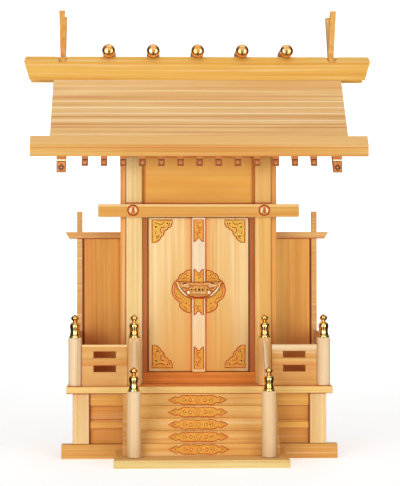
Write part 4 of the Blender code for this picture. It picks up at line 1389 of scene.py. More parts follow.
@dataclass
class Railings:
    """The top and middle rails, which stand proud of the slotted front boards."""

    proud: float = 0.0009
    top_height: float = 0.0071
    middle_height: float = 0.0068
    middle_fall: float = 0.0157
    round_over: float = 0.0004
    round_share: float = 0.3
    gap: float = 0.00002
    first_seed: int = 91

    def rail(self, name: str, low: Vector, high: Vector) -> Object:
        """One rail with its long front edges rounded over.

        Args:
            name: The piece's name.
            low: Its lowest corner.
            high: Its highest corner.

        Returns:
            The rail.
        """
        soft = self.round_over
        slight = soft * self.round_share
        end = [(high.y, low.z), (high.y, high.z), (low.y + soft, high.z), (low.y + slight, high.z - slight)]
        end += [(low.y, high.z - soft), (low.y, low.z + soft), (low.y + slight, low.z + slight)]
        end.append((low.y + soft, low.z))
        points = [(x, y, z) for x in (low.x, high.x) for y, z in end]
        return mesh_piece(name, points, prism_faces(0, len(end)))

    def build(self) -> None:
        """Make the top and middle rails of both front railings."""
        seed = self.first_seed
        for side in Side:
            low, high, _ = box_of(f"front_railing_{side.word}")
            middle_top = high.z - self.middle_fall
            for word, top, height in (
                ("top", high.z, self.top_height),
                ("middle", middle_top, self.middle_height),
            ):
                near = Vector((low.x, low.y - self.proud, top - height))
                far = Vector((high.x, low.y - self.gap, top))
                rail = self.rail(f"railing_{word}_rail_{side.word}", near, far)
                wood = POST_WOOD if word == "top" and side is Side.RIGHT else RAIL_WOOD
                settle(rail, Body.ALTAR, (), wood.material(Grain.ALONG_X, seed))
                seed += 1


@dataclass
class WingPanels:
    """The panels of the wing screens, each with a tongue that enters the beam and the post."""

    tongue: float = 0.00028
    tongue_depth: float = 0.0016
    chamfer: float = 0.0003
    first_seed: int = 121

    def build(self) -> None:
        """Make both panels in place of their nodes."""
        for side in Side:
            name = f"wing_panel_{side.word}"
            low, high, middle = box_of(name)
            reach = (low.x, high.x + self.tongue) if side is Side.RIGHT else (low.x - self.tongue, high.x)
            half = self.tongue_depth / 2
            points, faces = [], []
            for left, right, front, back, foot, top, cut in (
                (low.x, high.x, low.y, high.y, low.z, high.z, self.chamfer),
                (*reach, middle.y - half, middle.y + half, low.z + self.chamfer, high.z + self.tongue, 0.0),
            ):
                ring = [(left + cut, front), (right - cut, front), (right, front + cut), (right, back)]
                ring += [(left, back), (left, front + cut)]
                faces += prism_faces(len(points), len(ring))
                points += [(x, y, z) for z in (foot, top) for x, y in ring]
            panel = mesh_piece(f"wing_board_{side.word}", points, faces)
            # The right panel wears the copy with painted light.
            finish = LIT_WING_WOOD if side is Side.RIGHT else WING_WOOD
            wood = finish.material(Grain.ALONG_Z, self.first_seed + side.value)
            settle(panel, Body.ALTAR, [name], wood)


def scalloped(start: Point, end: Point, lobes: int, depth: float, steps: int = 6) -> list[Point]:
    """An edge of round lobes with sharp notches between, swelling to the right of its run.

    Args:
        start: Where it starts.
        end: Where it ends.
        lobes: How many lobes.
        depth: How far each stands out.
        steps: Steps along each lobe.

    Returns:
        The points, without the last one.
    """
    run = (end[0] - start[0], end[1] - start[1])
    length = math.hypot(*run)
    points = []
    for step in range(lobes * steps):
        share = step / (lobes * steps)
        push = depth * math.sin(math.pi * (step % steps) / steps) ** 0.8 / length
        across, up = start[0] + run[0] * share, start[1] + run[1] * share
        points.append((across + run[1] * push, up - run[0] * push))
    return points


def inset(outline: Sequence[Point], margin: float) -> list[Point]:
    """A closed anticlockwise outline moved inwards, corner by corner.

    Args:
        outline: The outline.
        margin: How far it moves.

    Returns:
        The smaller outline.
    """
    points = []
    for index, (u, v) in enumerate(outline):
        along = heading(outline[index - 1], outline[(index + 1) % len(outline)])
        points.append((u - along.y * margin, v + along.x * margin))
    return points


@dataclass(frozen=True)
class PlateGauge:
    """How thick the chased sheet is and how high its work stands, in millimetres."""

    sheet: float = 0.35
    relief: float = 0.5
    rim: float = 0.42
    line: float = 0.42
    ground: float = 0.22
    edge: float = 1.05
    field: float = 0.06
    pit_rise: float = 0.04

    @property
    def cut(self) -> float:
        """Height of the ground that grooves are cut in."""
        return self.sheet + self.field

    @property
    def pierced(self) -> float:
        """Height of the ground round a pit."""
        return self.sheet + self.pit_rise


def begin_plate(
    draft: Draft, outline: Sequence[Point], gauge: PlateGauge, holes: Sequence[Sequence[Point]] = ()
) -> None:
    """Lay the sheet of a plate and the raised rim round it.

    Args:
        draft: The draft it goes into.
        outline: The plate's outline, anticlockwise.
        gauge: Its thickness and relief.
        holes: What is cut right through.
    """
    # The sheet's outer band stays dark: painted shade round the plate's edge.
    draft.slab(outline, 0.0, gauge.sheet, 0.62, holes)
    draft.slab(inset(outline, gauge.edge), gauge.sheet - 0.05, gauge.cut, gauge.ground, holes)
    rim = inset(outline, gauge.edge + gauge.rim * 0.6)
    draft.stroke(rim, gauge.rim * 0.6, gauge.relief * 0.7, gauge.sheet, closed=True)
    for hole in holes:
        draft.stroke(hole, gauge.rim * 0.5, gauge.relief * 0.7, gauge.sheet, closed=True)


@dataclass
class DoorFittings:
    """Chased plates on the doors: corners, the plates on the strip and the clouds behind the lock."""

    gauge: PlateGauge = PlateGauge()
    strip_gauge: PlateGauge = PlateGauge(sheet=0.2, relief=0.45, rim=0.4, line=0.32)
    corner_width: float = 23.4
    corner_height: float = 26.2
    corner_edge: float = 3.5
    upper_margin: float = 0.0024
    lower_margin: float = 0.0042
    cloud_middle: float = 0.1843
    strip_plate_width: float = 11.6
    strip_end_height: float = 25.0
    strip_middle_height: float = 51.5
    strip_margins: Point = (0.0032, 0.0024)
    strip_middle: float = 0.1829
    lock_clearance: float = 14.0
    scroll_pitch: float = 4.9
    lift: float = 0.00003

    def corner(self, draft: Draft, across: int, up: int) -> None:
        """A corner plate, drawn as if it reached right and up from its square corner.

        Args:
            draft: The draft it goes into.
            across: 1 if it reaches to the right of its corner, or else -1.
            up: 1 if it reaches up from its corner, or else -1.
        """
        wide, tall = self.corner_width, self.corner_height
        outline = [(0.0, 0.0), (wide, 0.0), (wide, 4.4)]
        outline += scalloped((wide - 0.7, 6.4), (15.2, 12.4), 2, 0.8)
        outline += [(14.5, 13.6)]
        outline += scalloped((14.3, 15.2), (7.0, 24.4), 2, 0.8)
        outline += [(4.9, tall - 0.2), (0.0, tall)]
        hole = circle((12.4, 12.7), 0.95, 12)
        turn = across * up
        begin_plate(draft, flipped(outline, across, up)[::turn], self.gauge, [flipped(hole, across, up)])
        grooves = [[(14.9, 1.9), (13.6, 3.8), (11.6, 5.2), (8.4, 5.0), (5.2, 3.9), (3.2, 2.9)]]
        bow = [(15.4, 7.8), (13.6, 8.8), (11.2, 8.6), (9.6, 10.4), (9.6, 13.0), (10.8, 15.0), (12.3, 15.4)]
        grooves += [bow, [(3.2, 12.4), (4.2, 14.6), (4.8, 16.6)]]
        grooves += [[(8.4, 16.4), (8.2, 18.4), (6.9, 20.4), (4.6, 21.6)]]
        grooves += [[(19.6, 2.6), (20.2, 4.4), (19.0, 6.4), (17.4, 7.4)], [(0.8, 0.75), (22.4, 0.75)]]
        draft.grooves(grooves, 0.6, self.gauge.cut, across, up)
        pits = [((17.5, 4.1), 1.0), ((4.6, 8.3), 1.15), ((6.0, 18.6), 0.95)]
        draft.pits(pits, self.gauge.pierced, across, up)
        curls = [((6.6, 12.2), 2.0, 100, 1.4), ((12.6, 2.9), 1.3, 330, -1.3), ((2.9, 18.2), 1.5, 240, -1.3)]
        curls += [((8.6, 7.6), 1.7, 40, 1.3), ((17.6, 8.2), 0.9, 180, 1.2), ((2.4, 5.4), 1.2, 200, 1.3)]
        draft.curls(curls, self.gauge.line, self.gauge.relief, self.gauge.sheet, across, up)
        for ends in ([(6.4, 2.2), (11.0, 2.0)], [(2.0, 10.4), (1.9, 15.4)], [(5.4, 22.6), (2.6, 23.6)]):
            draft.leaf(*flipped(ends, across, up), 0.7 * turn, 0.5, self.gauge.relief, self.gauge.sheet)

    def strip_outline(self, height: float, notch_up: bool, notch_down: bool) -> list[Point]:
        """The outline of a plate on the strip, with an ogee notch at one or both ends.

        Args:
            height: The plate's height.
            notch_up: True if its upper end is notched.
            notch_down: True if its lower end is notched.

        Returns:
            The outline, anticlockwise.
        """
        half, top = self.strip_plate_width / 2, height / 2
        profile = [(1.0, 0.2), (0.93, -0.2), (0.78, -0.3), (0.62, 0.1), (0.46, 1.1), (0.3, 2.4), (0.14, 3.5)]
        right = [(half * across, -top + rise) for across, rise in profile]
        notched = [(-u, v) for u, v in right] + [(0.0, -top + 4.0)] + right[::-1]
        lower = notched if notch_down else [(-half, -top), (half, -top)]
        upper = [(-u, -v) for u, v in notched] if notch_up else [(half, top), (-half, top)]
        return lower + upper

    def strip_plate(
        self, draft: Draft, height: float, notch_up: bool, notch_down: bool, clear: float = 0.0
    ) -> None:
        """A plate on the strip, chased with scrolls that climb it in pairs.

        Args:
            draft: The draft it goes into.
            height: The plate's height.
            notch_up: True if its upper end is notched.
            notch_down: True if its lower end is notched.
            clear: Half the height about its middle that the lock hides, where it stays flat.
        """
        gauge = self.strip_gauge
        begin_plate(draft, self.strip_outline(height, notch_up, notch_down), gauge)
        top = height / 2 - (5.6 if notch_up else 2.6)
        foot = -height / 2 + (5.6 if notch_down else 2.6)
        count = int((top - foot) / self.scroll_pitch)
        for step in range(count):
            v = foot + (step + 0.5) * (top - foot) / count
            if abs(v) < clear:
                continue
            hand = 1 if step % 2 else -1
            bow = [(-2.7, 2.1), (-0.6, 2.0), (1.6, 1.2), (2.0, -0.4), (0.9, -1.8), (-1.0, -2.3)]
            draft.grooves([[(u, v + up) for u, up in bow]], 0.56, gauge.cut, hand)
            draft.curls([((-0.6, v + 0.2), 1.5, 90, -1.3)], 0.36, gauge.relief, gauge.sheet, hand)
            ends = flipped([(3.2, v - 2.2), (3.4, v + 1.8)], hand)
            draft.leaf(*ends, 0.3 * hand, 0.34, gauge.relief, gauge.sheet)
            draft.pits([((2.9, v + 2.6), 0.6)], gauge.pierced, hand)

    def cloud(self, draft: Draft, hand: int) -> None:
        """Half of the round cloud plate that lies behind the lock.

        Args:
            draft: The draft it goes into.
            hand: -1 for the left half, or else 1.
        """
        lobes = [((8.1, -24.5), (14.6, -23.9), 0.7), ((14.6, -23.9), (22.4, -14.8), 1.7)]
        lobes += [((21.4, -13.2), (23.8, -11.7), 0.2), ((23.8, -11.7), (29.3, 6.8), 3.6)]
        lobes += [((29.3, 6.8), (22.9, 13.4), 0.9), ((22.9, 13.4), (17.3, 20.1), 1.9)]
        lobes += [((17.3, 20.1), (8.1, 23.6), 1.5)]
        outline = []
        for first, second, bulge in lobes:
            outline += scalloped(first, second, 1, bulge, 8)
        outline.append(lobes[-1][1])
        holes = [circle((20.6, -10.8), 0.95, 12), circle((22.2, 10.6), 0.8, 12)]
        holes = [flipped(hole, hand) for hole in holes]
        begin_plate(draft, flipped(outline, hand)[::hand], self.gauge, holes)
        bow = [(25.4, 8.8), (27.0, 4.4), (27.3, -0.4), (26.4, -5.0), (24.0, -8.0), (20.6, -8.4)]
        grooves = [[*bow, (18.4, -10.6)], [(18.4, -10.6), (19.0, -13.4), (20.2, -15.2)]]
        grooves += [[(12.0, -20.8), (15.0, -19.2), (17.6, -16.4)]]
        grooves += [[(20.2, 14.4), (16.8, 13.4), (14.4, 15.2), (11.4, 13.2)]]
        grooves += [[(18.4, -20.0), (15.8, -21.6), (12.4, -21.9)], [(11.6, 20.6), (14.6, 19.4), (17.2, 16.6)]]
        draft.grooves(grooves, 0.58, self.gauge.cut, hand)
        pits = [((13.2, 17.3), 0.9), ((19.2, 16.9), 0.6), ((14.0, -14.2), 0.7), ((24.6, -3.6), 0.6)]
        draft.pits(pits, self.gauge.pierced, hand)
        curls = [((10.9, 16.8), 1.4, 250, 1.3), ((18.6, 10.8), 1.7, 200, 1.3), ((23.9, 5.2), 1.5, 150, 1.3)]
        curls += [((11.2, -17.0), 1.7, 110, -1.3), ((17.2, -13.2), 1.3, 160, -1.3)]
        curls += [((24.2, 0.4), 1.3, 240, -1.2), ((11.4, -12.2), 1.4, 60, 1.3)]
        curls += [((14.8, 11.2), 1.3, 20, -1.2), ((22.6, -6.0), 1.2, -20, 1.2)]
        draft.curls(curls, self.gauge.line, self.gauge.relief, self.gauge.sheet, hand)
        leaves = [[(13.6, -16.6), (16.4, -18.4)], [(11.0, 10.0), (13.0, 14.0)], [(26.2, -7.6), (28.2, -3.6)]]
        for ends in leaves:
            draft.leaf(*flipped(ends, hand), 0.6, 0.45, self.gauge.relief, self.gauge.sheet)

    def build(self) -> None:
        """Make the plates, each riding on the leaf that carries it."""
        gold = GOLD.material()
        amber = AMBER_BRASS.material()
        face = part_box("door_left")[0].y - self.lift
        for side in Side:
            low, high, _ = box_of(f"door_{side.word}")
            outer = side.outer(low, high) - side.value * self.corner_edge / 1000
            for word, z, up, finish in (
                ("upper", high.z - self.upper_margin, -1, gold),
                ("lower", low.z + self.lower_margin, 1, amber),
            ):
                draft = Draft(Plane((outer, face, z)))
                self.corner(draft, -side.value, up)
                settle(draft.piece(f"corner_plate_{word}_{side.word}", finish), side.leaf)
            draft = Draft(Plane((0.0, face, self.cloud_middle)))
            self.cloud(draft, side.value)
            settle(draft.piece(f"cloud_plate_{side.word}", amber), side.leaf)
        low, high, _ = box_of("door_strip")
        end = self.strip_end_height
        foot, top = low.z + self.strip_margins[0], high.z - self.strip_margins[1]
        for word, middle, height, notch_up, notch_down, clear in (
            ("upper", top - end / 2000, end, False, True, 0.0),
            ("lower", foot + end / 2000, end, True, False, 0.0),
            ("middle", self.strip_middle, self.strip_middle_height, True, True, self.lock_clearance),
        ):
            draft = Draft(Plane((0.0, low.y - self.lift, middle)))
            self.strip_plate(draft, height, notch_up, notch_down, clear)
            settle(draft.piece(f"strip_plate_{word}", amber), Body.RIGHT_LEAF)


@dataclass(frozen=True)
class LockPlane(Plane):
    """The face of the lock: a boat between a hollow deck and a round keel, swelling towards its middle."""

    half_width: float = 27.0
    edge: float = 0.8
    swell: float = 1.4

    def keel(self, u: float) -> float:
        """Height of the lower edge."""
        return -10.0 + 20.0 * min(1.0, abs(u) / self.half_width) ** 3.2

    def deck(self, u: float) -> float:
        """Height of the upper edge."""
        return 8.8 + 1.2 * min(1.0, abs(u) / self.half_width) ** 2

    def rise(self, u: float, v: float) -> float:
        """How far the face stands out of the plane at a point.

        Args:
            u: Across.
            v: Up.

        Returns:
            The height in millimetres.
        """
        foot, top = self.keel(u), self.deck(u)
        depth = max(top - foot, 1e-6)
        share = min(max((v - foot) / depth, 0.0), 1.0)
        swell = self.swell * math.sin(math.pi * share) ** 0.7 * min(1.0, depth / 9.0)
        return self.edge * min(1.0, 0.4 + depth / 8.0) + swell

    def place(self, u: float, v: float, out: float) -> Vector:
        """A point that stands on the swelling face."""
        return super().place(u, v, self.rise(u, v) + out)


@dataclass
class Lock:
    """The boat-shaped lock over the meeting doors, chased with scrolls, with studs painted as highlights and
    eyes painted as dark holes.
    """

    stations: int = 64
    steps: int = 12
    stud: Point = (11.5, -2.9)
    stud_radius: float = 1.75
    tooth_pitch: float = 1.6
    eye_row: float = 0.1
    upper_row: float = 7.6
    cut: float = 0.04
    high_cut: float = 0.06
    pierced: float = 0.02
    sunk: float = -0.05

    def body(self, draft: Draft, plane: LockPlane) -> None:
        """The solid body with its swelling face and flat back.

        Args:
            draft: The draft it goes into.
            plane: The lock's face.
        """
        sections = []
        for station in range(self.stations + 1):
            u = -plane.half_width * 0.998 * math.cos(math.pi * station / self.stations)
            foot, top = plane.keel(u), plane.deck(u)
            shares = ((1 - math.cos(math.pi * step / self.steps)) / 2 for step in range(self.steps + 1))
            ring = draft.row([(u, foot + (top - foot) * share) for share in shares], 0.0, 0.16)
            # Dark back corners give the flanks painted shade.
            for v in (top, foot):
                ring += draft.row([(u, v)], -plane.rise(u, v), 0.7)
            sections.append(ring)
        for first, second in zip(sections, sections[1:]):
            draft.bridge(first, second)
        draft.faces += [tuple(sections[0]), tuple(reversed(sections[-1]))]

    def chase(self, draft: Draft, plane: LockPlane) -> None:
        """The rim, scrolls, studs and eyes on its face.

        Args:
            draft: The draft it goes into.
            plane: The lock's face.
        """
        reach = plane.half_width * 0.955

        def keel(share: float) -> Point:
            """The line just inside the keel's edge."""
            u = -reach * math.cos(math.pi * share)
            return u, plane.keel(u) + 0.5

        line = [(22.3, 5.4), (20.6, 2.6), (18.2, -0.6), (14.4, -4.4), (10.0, -7.0), (5.0, -8.2), (0.0, -8.6)]
        line += flipped(line[-2::-1], -1)
        deck = sampled(40, lambda s: (reach * (2 * s - 1), plane.deck(reach * (2 * s - 1)) - 0.45))
        second = sampled(32, lambda s: (12.0 * (2 * s - 1), 5.6 - 1.2 * math.sin(math.pi * s)))
        draft.stroke(sampled(56, keel), 0.5, 0.4, self.sunk, dark=0.6)
        draft.stroke(deck, 0.5, 0.4, self.sunk, dark=0.64)
        draft.groove(line, 0.75, self.cut, 0.72)
        draft.groove(second, 0.45, self.cut, 0.66)
        for u, radius in ((-11.2, 0.8), (-8.1, 0.9), (-3.5, 1.1), (0.5, 1.45), (4.5, 1.3), (10.0, 0.8)):
            draft.pit((u, self.eye_row), radius, self.pierced)
        for u in (-5.6, -0.4, 5.4):
            draft.pit((u, self.upper_row), 0.55, self.pierced)
        # The teeth are painted as highlights.
        for tooth in range(-4, 5):
            draft.boss((tooth * self.tooth_pitch, -3.4 + 0.02 * tooth**2), 0.62, 0.5, self.sunk, 8, -0.7)
            gap = (tooth + 0.5) * self.tooth_pitch
            draft.groove([(gap, v) for v in (-4.8, -5.6, -6.4)], 0.34, self.cut, 0.66)
        for hand in (-1, 1):
            stud = flipped([self.stud], hand)[0]
            # The studs are painted as highlights, almost white.
            draft.boss(stud, self.stud_radius, 0.7, -0.1, 16, -1.0)
            draft.groove(circle(stud, self.stud_radius * 1.3, 18), 0.26, self.pierced, closed=True)
            # Dark crescents: painted shade where openings would be.
            hollow = [(12.8, 7.6), (14.0, 8.3), (15.8, 7.9), (17.6, 7.1), (18.8, 5.9), (16.8, 6.2)]
            hollow.append((14.6, 6.9))
            draft.slab(flipped(hollow, hand)[::-hand], -0.3, 0.08, 1.0)
            # Painted highlights along the deck and along the keel's bevel.
            edge = [(12.4, 6.4), (14.6, 5.8), (16.8, 5.2), (19.4, 4.7)]
            draft.stroke(flipped(edge, hand), [0.2, 0.5, 0.45, 0.15], 0.35, 0.0, dark=-0.8)
            bevel_highlight = [(23.6, 4.9), (22.2, 2.5), (19.3, -1.7), (15.4, -5.4), (13.4, -6.7)]
            draft.stroke(flipped(bevel_highlight, hand), [0.4, 0.85, 1.0, 0.9, 0.4], 0.5, self.sunk, dark=-1.0)
            grooves = [[(8.6, 5.2), (10.0, 3.2), (12.6, 1.8), (15.6, 1.9), (18.4, 3.2)]]
            grooves += [[(9.6, 0.8), (12.4, -0.4), (15.2, -1.4), (16.4, -2.6)]]
            grooves += [[(19.4, 6.8), (21.2, 7.2), (23.0, 8.2)]]
            draft.grooves(grooves, 0.62, self.high_cut, hand, dark=0.72)
            # A small boss painted as a highlight.
            draft.boss((hand * 12.4, 3.7), 0.95, 0.5, 0.0, 10, -0.8)
            curls = [((6.4, 3.4), 1.5, 150, -1.3), ((18.0, 0.6), 1.5, 200, 1.3)]
            curls += [((21.6, 7.4), 1.2, 240, -1.2), ((15.4, -3.9), 1.1, 100, -1.2)]
            curls += [((8.4, -6.0), 1.1, 120, 1.2)]
            draft.curls(curls, 0.36, 0.42, -0.06, hand)
            for foot, tip, bend in (
                ((1.6, 4.0), (4.6, 5.0), 0.4),
                ((9.8, 2.0), (12.4, 1.4), -0.4),
                ((19.0, 8.0), (22.8, 8.9), 0.3),
                ((11.0, -6.0), (13.4, -5.0), 0.3),
            ):
                draft.leaf(*flipped([foot, tip], hand), bend * hand, 0.42, 0.4, self.sunk)

    def build(self) -> None:
        """Make the lock in place of its node."""
        _, high, middle = box_of("door_lock")
        plane = LockPlane((middle.x, high.y, middle.z))
        draft = Draft(plane)
        self.body(draft, plane)
        self.chase(draft, plane)
        settle(draft.piece("lock", LOCK_BRASS.material(), 60), Body.RIGHT_LEAF, ["door_lock"])


@dataclass
class StairPlates:
    """One chased cartouche on each riser of the stairs."""

    count: int = 5
    reach: float = 32.85
    reach_out: float = 0.00173
    fall: float = 0.0069
    middle: float = -0.0024
    step: Point = (-0.0115, -0.01229)
    gauge: PlateGauge = PlateGauge(sheet=0.3, relief=0.42, rim=0.42, line=0.42, ground=0.2, edge=0.8)

    def outline(self) -> list[Point]:
        """The cartouche's outline: a long body, pinched before a leaf at either end.

        Returns:
            The outline, anticlockwise.
        """
        quarter = [(0.0, 4.9), (2.2, 5.0), (4.6, 5.5), (7.2, 5.1), (9.4, 5.1), (12.2, 5.5), (15.5, 5.4)]
        quarter += [(18.0, 4.9), (19.6, 4.1), (20.6, 3.3), (21.6, 2.8), (22.4, 2.9), (23.2, 3.7), (24.4, 4.2)]
        quarter += [(25.6, 3.8), (27.6, 2.8), (29.6, 1.8), (31.6, 0.75), (self.reach, 0.0)]
        right = [(u, -v) for u, v in quarter] + quarter[-2::-1]
        left = [(-u, v) for u, v in quarter[1:]] + [(-u, -v) for u, v in quarter[-2:0:-1]]
        return right + left

    def build(self) -> None:
        """Make the five cartouches as one row."""
        draft = Draft(Plane())
        begin_plate(draft, self.outline(), self.gauge)
        low, high, thick, cut = self.gauge.sheet, self.gauge.relief, self.gauge.line, self.gauge.cut
        draft.boss((0.0, 0.0), 0.9, 0.6, low - 0.05, 12)
        draft.groove([(0.0, 3.6), (2.4, 0.0), (0.0, -3.6), (-2.4, 0.0)], 0.36, cut, closed=True)
        for hand in (-1, 1):
            draft.boss((hand * 8.3, 0.0), 1.0, 0.6, low - 0.05, 12)
            draft.groove(circle((hand * 8.3, 0.0), 1.8, 18), 0.4, cut, 0.5, closed=True)
            draft.stroke(circle((hand * 8.3, 0.0), 3.0, 22), 0.42, high, low, closed=True)
            draft.grooves([[(14.0, 3.0), (15.8, 1.6), (16.2, -0.6), (14.8, -2.6)]], 0.4, cut, hand)
            draft.grooves([[(23.6, 2.2), (26.6, 1.5), (29.2, 0.0), (26.6, -1.5)]], 0.34, cut, hand)
            draft.grooves([[(23.6, -2.2), (26.6, -1.5)]], 0.34, cut, hand)
            draft.pits([((25.2, 0.0), 0.6), ((13.2, 0.0), 0.75)], self.gauge.pierced, hand)
            for rise in (-1, 1):
                curls = [((4.3, 3.1), 1.2, 180, 1.3), ((12.2, 3.4), 1.2, 200, -1.3)]
                curls.append(((17.6, 2.4), 1.1, 150, -1.2))
                draft.curls(curls, thick, high, low, hand, rise)
                ends = flipped([(6.8, 3.9), (10.0, 3.9)], hand, rise)
                draft.leaf(*ends, -0.3 * hand * rise, 0.4, high, low)
                draft.grooves([[(4.6, 1.2), (4.9, 0.2)]], 0.34, cut, hand, rise)
        gold = AMBER_BRASS.material()
        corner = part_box("staircase")[1]
        start = (self.middle, corner.y - self.reach_out, corner.z - self.fall)
        values = {"Count": self.count, "Start": start, "Step": (0.0, *self.step)}
        values |= {"Piece": draft.piece("cartouche", gold), "Finish": gold}
        plates = row_tree().run("riser_cartouches", carrier_of([Vector()]), values)
        settle(plates, Body.ALTAR)


@dataclass
class EaveCaps:
    """Brass caps on the ends of the rafters and of the bargeboards, at the front and at the back."""

    count: int = 13
    pitch: float = 0.021
    width: float = 7.1
    height: float = 7.4
    rise: float = 0.01105
    setback: float = 0.00097
    board_reach: float = 0.1519
    board_width: float = 10.2
    board_height: float = 14.2
    board_rise: float = 0.0072
    gauge: PlateGauge = PlateGauge(sheet=0.3, relief=0.35, rim=0.5, line=0.34, ground=0.1, edge=0.8)

    def blank(
        self, plane: Plane, half: float, top: float, flange: float, proud: float, dark: float
    ) -> Draft:
        """A rectangular cap with its rim, and a flange along its top.

        Args:
            plane: Where it lies.
            half: Half its width.
            top: Half its height.
            flange: Height of the flange.
            proud: How far the flange stands above the sheet.
            dark: How dark the flange is; below zero it is a painted highlight.

        Returns:
            Its draft.
        """
        draft = Draft(plane)
        begin_plate(draft, [(-half, -top), (half, -top), (half, top), (-half, top)], self.gauge)
        strip = [(-half, top - flange), (half, top - flange), (half, top), (-half, top)]
        draft.slab(strip, self.gauge.sheet - 0.1, self.gauge.sheet + proud, dark)
        return draft

    def rafter_cap(self, plane: Plane) -> Draft:
        """The cap of one rafter, with a quatrefoil on it.

        Args:
            plane: Where it lies.

        Returns:
            Its draft.
        """
        draft = self.blank(plane, self.width / 2, self.height / 2, 0.9, 0.3, 0.8)
        low, high, cut = self.gauge.sheet, self.gauge.relief, self.gauge.cut
        draft.groove([(-2.2, -2.4), (2.2, -2.4), (2.2, 1.8), (-2.2, 1.8)], 0.62, cut, 0.62, closed=True)
        draft.boss((0.0, -0.3), 0.9, 0.4, low, 10)
        for quarter in range(4):
            turn = math.radians(45 + 90 * quarter)
            across, up = math.cos(turn), math.sin(turn)
            draft.leaf((across * 1.1, up * 1.1 - 0.3), (across * 2.0, up * 2.0 - 0.3), 0.0, 0.5, high, low)
        return draft

    def board_cap(self, plane: Plane) -> Draft:
        """The cap of one bargeboard, with a flange along its top painted as a highlight, a line of painted
        shade under it, and a ring below.

        Args:
            plane: Where it lies.

        Returns:
            Its draft.
        """
        half, top = self.board_width / 2, self.board_height / 2
        draft = self.blank(plane, half, top, 1.5, 0.5, -0.9)
        low, high, cut = self.gauge.sheet, self.gauge.relief, self.gauge.cut
        draft.groove([(-half + 0.3, top - 2.2), (0.0, top - 2.2), (half - 0.3, top - 2.2)], 0.5, cut, 0.9)
        ring = (0.0, -1.6)
        draft.boss(ring, 1.0, 0.6, low, 14)
        draft.groove(circle(ring, 1.9, 24), 0.7, cut, 0.8, closed=True)
        draft.groove([(0.0, 2.6), (3.6, -1.6), (0.0, -5.6), (-3.6, -1.6)], 0.6, cut, 0.7, closed=True)
        for hand in (-1, 1):
            draft.curls([((3.5, -5.2), 0.9, 90, 1.2)], 0.28, high, low, hand)
            draft.leaf(*flipped([(4.0, -3.2), (4.1, 1.0)], hand), 0.2 * hand, 0.35, high, low)
        return draft

    def build(self) -> None:
        """Make both rows of rafter caps and the four bargeboard caps."""
        gold = CAP_BRASS.material()
        tree = row_tree()
        for word, across in (("front", 1.0), ("back", -1.0)):
            low, high, _ = box_of(f"eave_{word}")
            y = low.y + self.setback if word == "front" else high.y - self.setback
            start = (-self.pitch * (self.count - 1) / 2, y, low.z + self.rise)
            values = {"Count": self.count, "Start": start, "Step": (self.pitch, 0.0, 0.0)}
            cap = self.rafter_cap(Plane(across=(across, 0.0, 0.0))).piece("rafter_cap", gold)
            values |= {"Piece": cap, "Finish": gold}
            settle(tree.run(f"rafter_caps_{word}", carrier_of([Vector()]), values), Body.ALTAR)
            for side in Side:
                plane = Plane((side.value * self.board_reach, y, low.z + self.board_rise), (across, 0.0, 0.0))
                cap = self.board_cap(plane).piece(f"bargeboard_cap_{word}_{side.word}", gold)
                settle(cap, Body.ALTAR)


@dataclass
class RidgeLogs:
    """Five round logs across the ridge, each capped with brass at both ends."""

    count: int = 5
    sides: int = 48
    cap_length: float = 0.0064
    cap_proud: float = 0.0002
    neck: float = 0.9
    shoulder: float = 0.0002
    first_seed: int = 111

    def build(self) -> None:
        """Make the logs in place of their nodes, and their caps."""
        gold = LOG_BRASS.material()
        for number in range(1, self.count + 1):
            low, high, middle = box_of(f"ridge_log_{number}")
            radius, length = (high.z - low.z) / 2, high.y - low.y
            ends = self.cap_length / 2
            full_end = ends + self.shoulder
            profile = [(radius * self.neck, ends), (radius, full_end), (radius, length - full_end)]
            profile.append((radius * self.neck, length - ends))
            foot = Vector((middle.x, low.y, middle.z))
            log = lathe(f"katsuogi_{number}", profile, foot, self.sides, lying=True)
            wood = BARREL_WOOD.material(Grain.ALONG_Y, self.first_seed + number)
            settle(log, Body.ALTAR, [f"ridge_log_{number}"], wood)
            full = radius + self.cap_proud
            dome = [(0.0, 0.0), (0.22, 0.004), (0.42, 0.03), (0.6, 0.085), (0.75, 0.17), (0.86, 0.275)]
            dome += [(0.94, 0.4), (0.98, 0.5), (1.0, 0.6), (1.0, 0.97), (0.985, 1.0), (0.93, 1.0)]
            dome = [(full * across, self.cap_length * along) for across, along in dome]
            back = [(across, length - along) for across, along in reversed(dome)]
            for word, shape in (("front", dome), ("back", back)):
                cap = lathe(f"log_cap_{number}_{word}", shape, foot, self.sides, lying=True, crease=50)
                settle(cap, Body.ALTAR, (), gold)


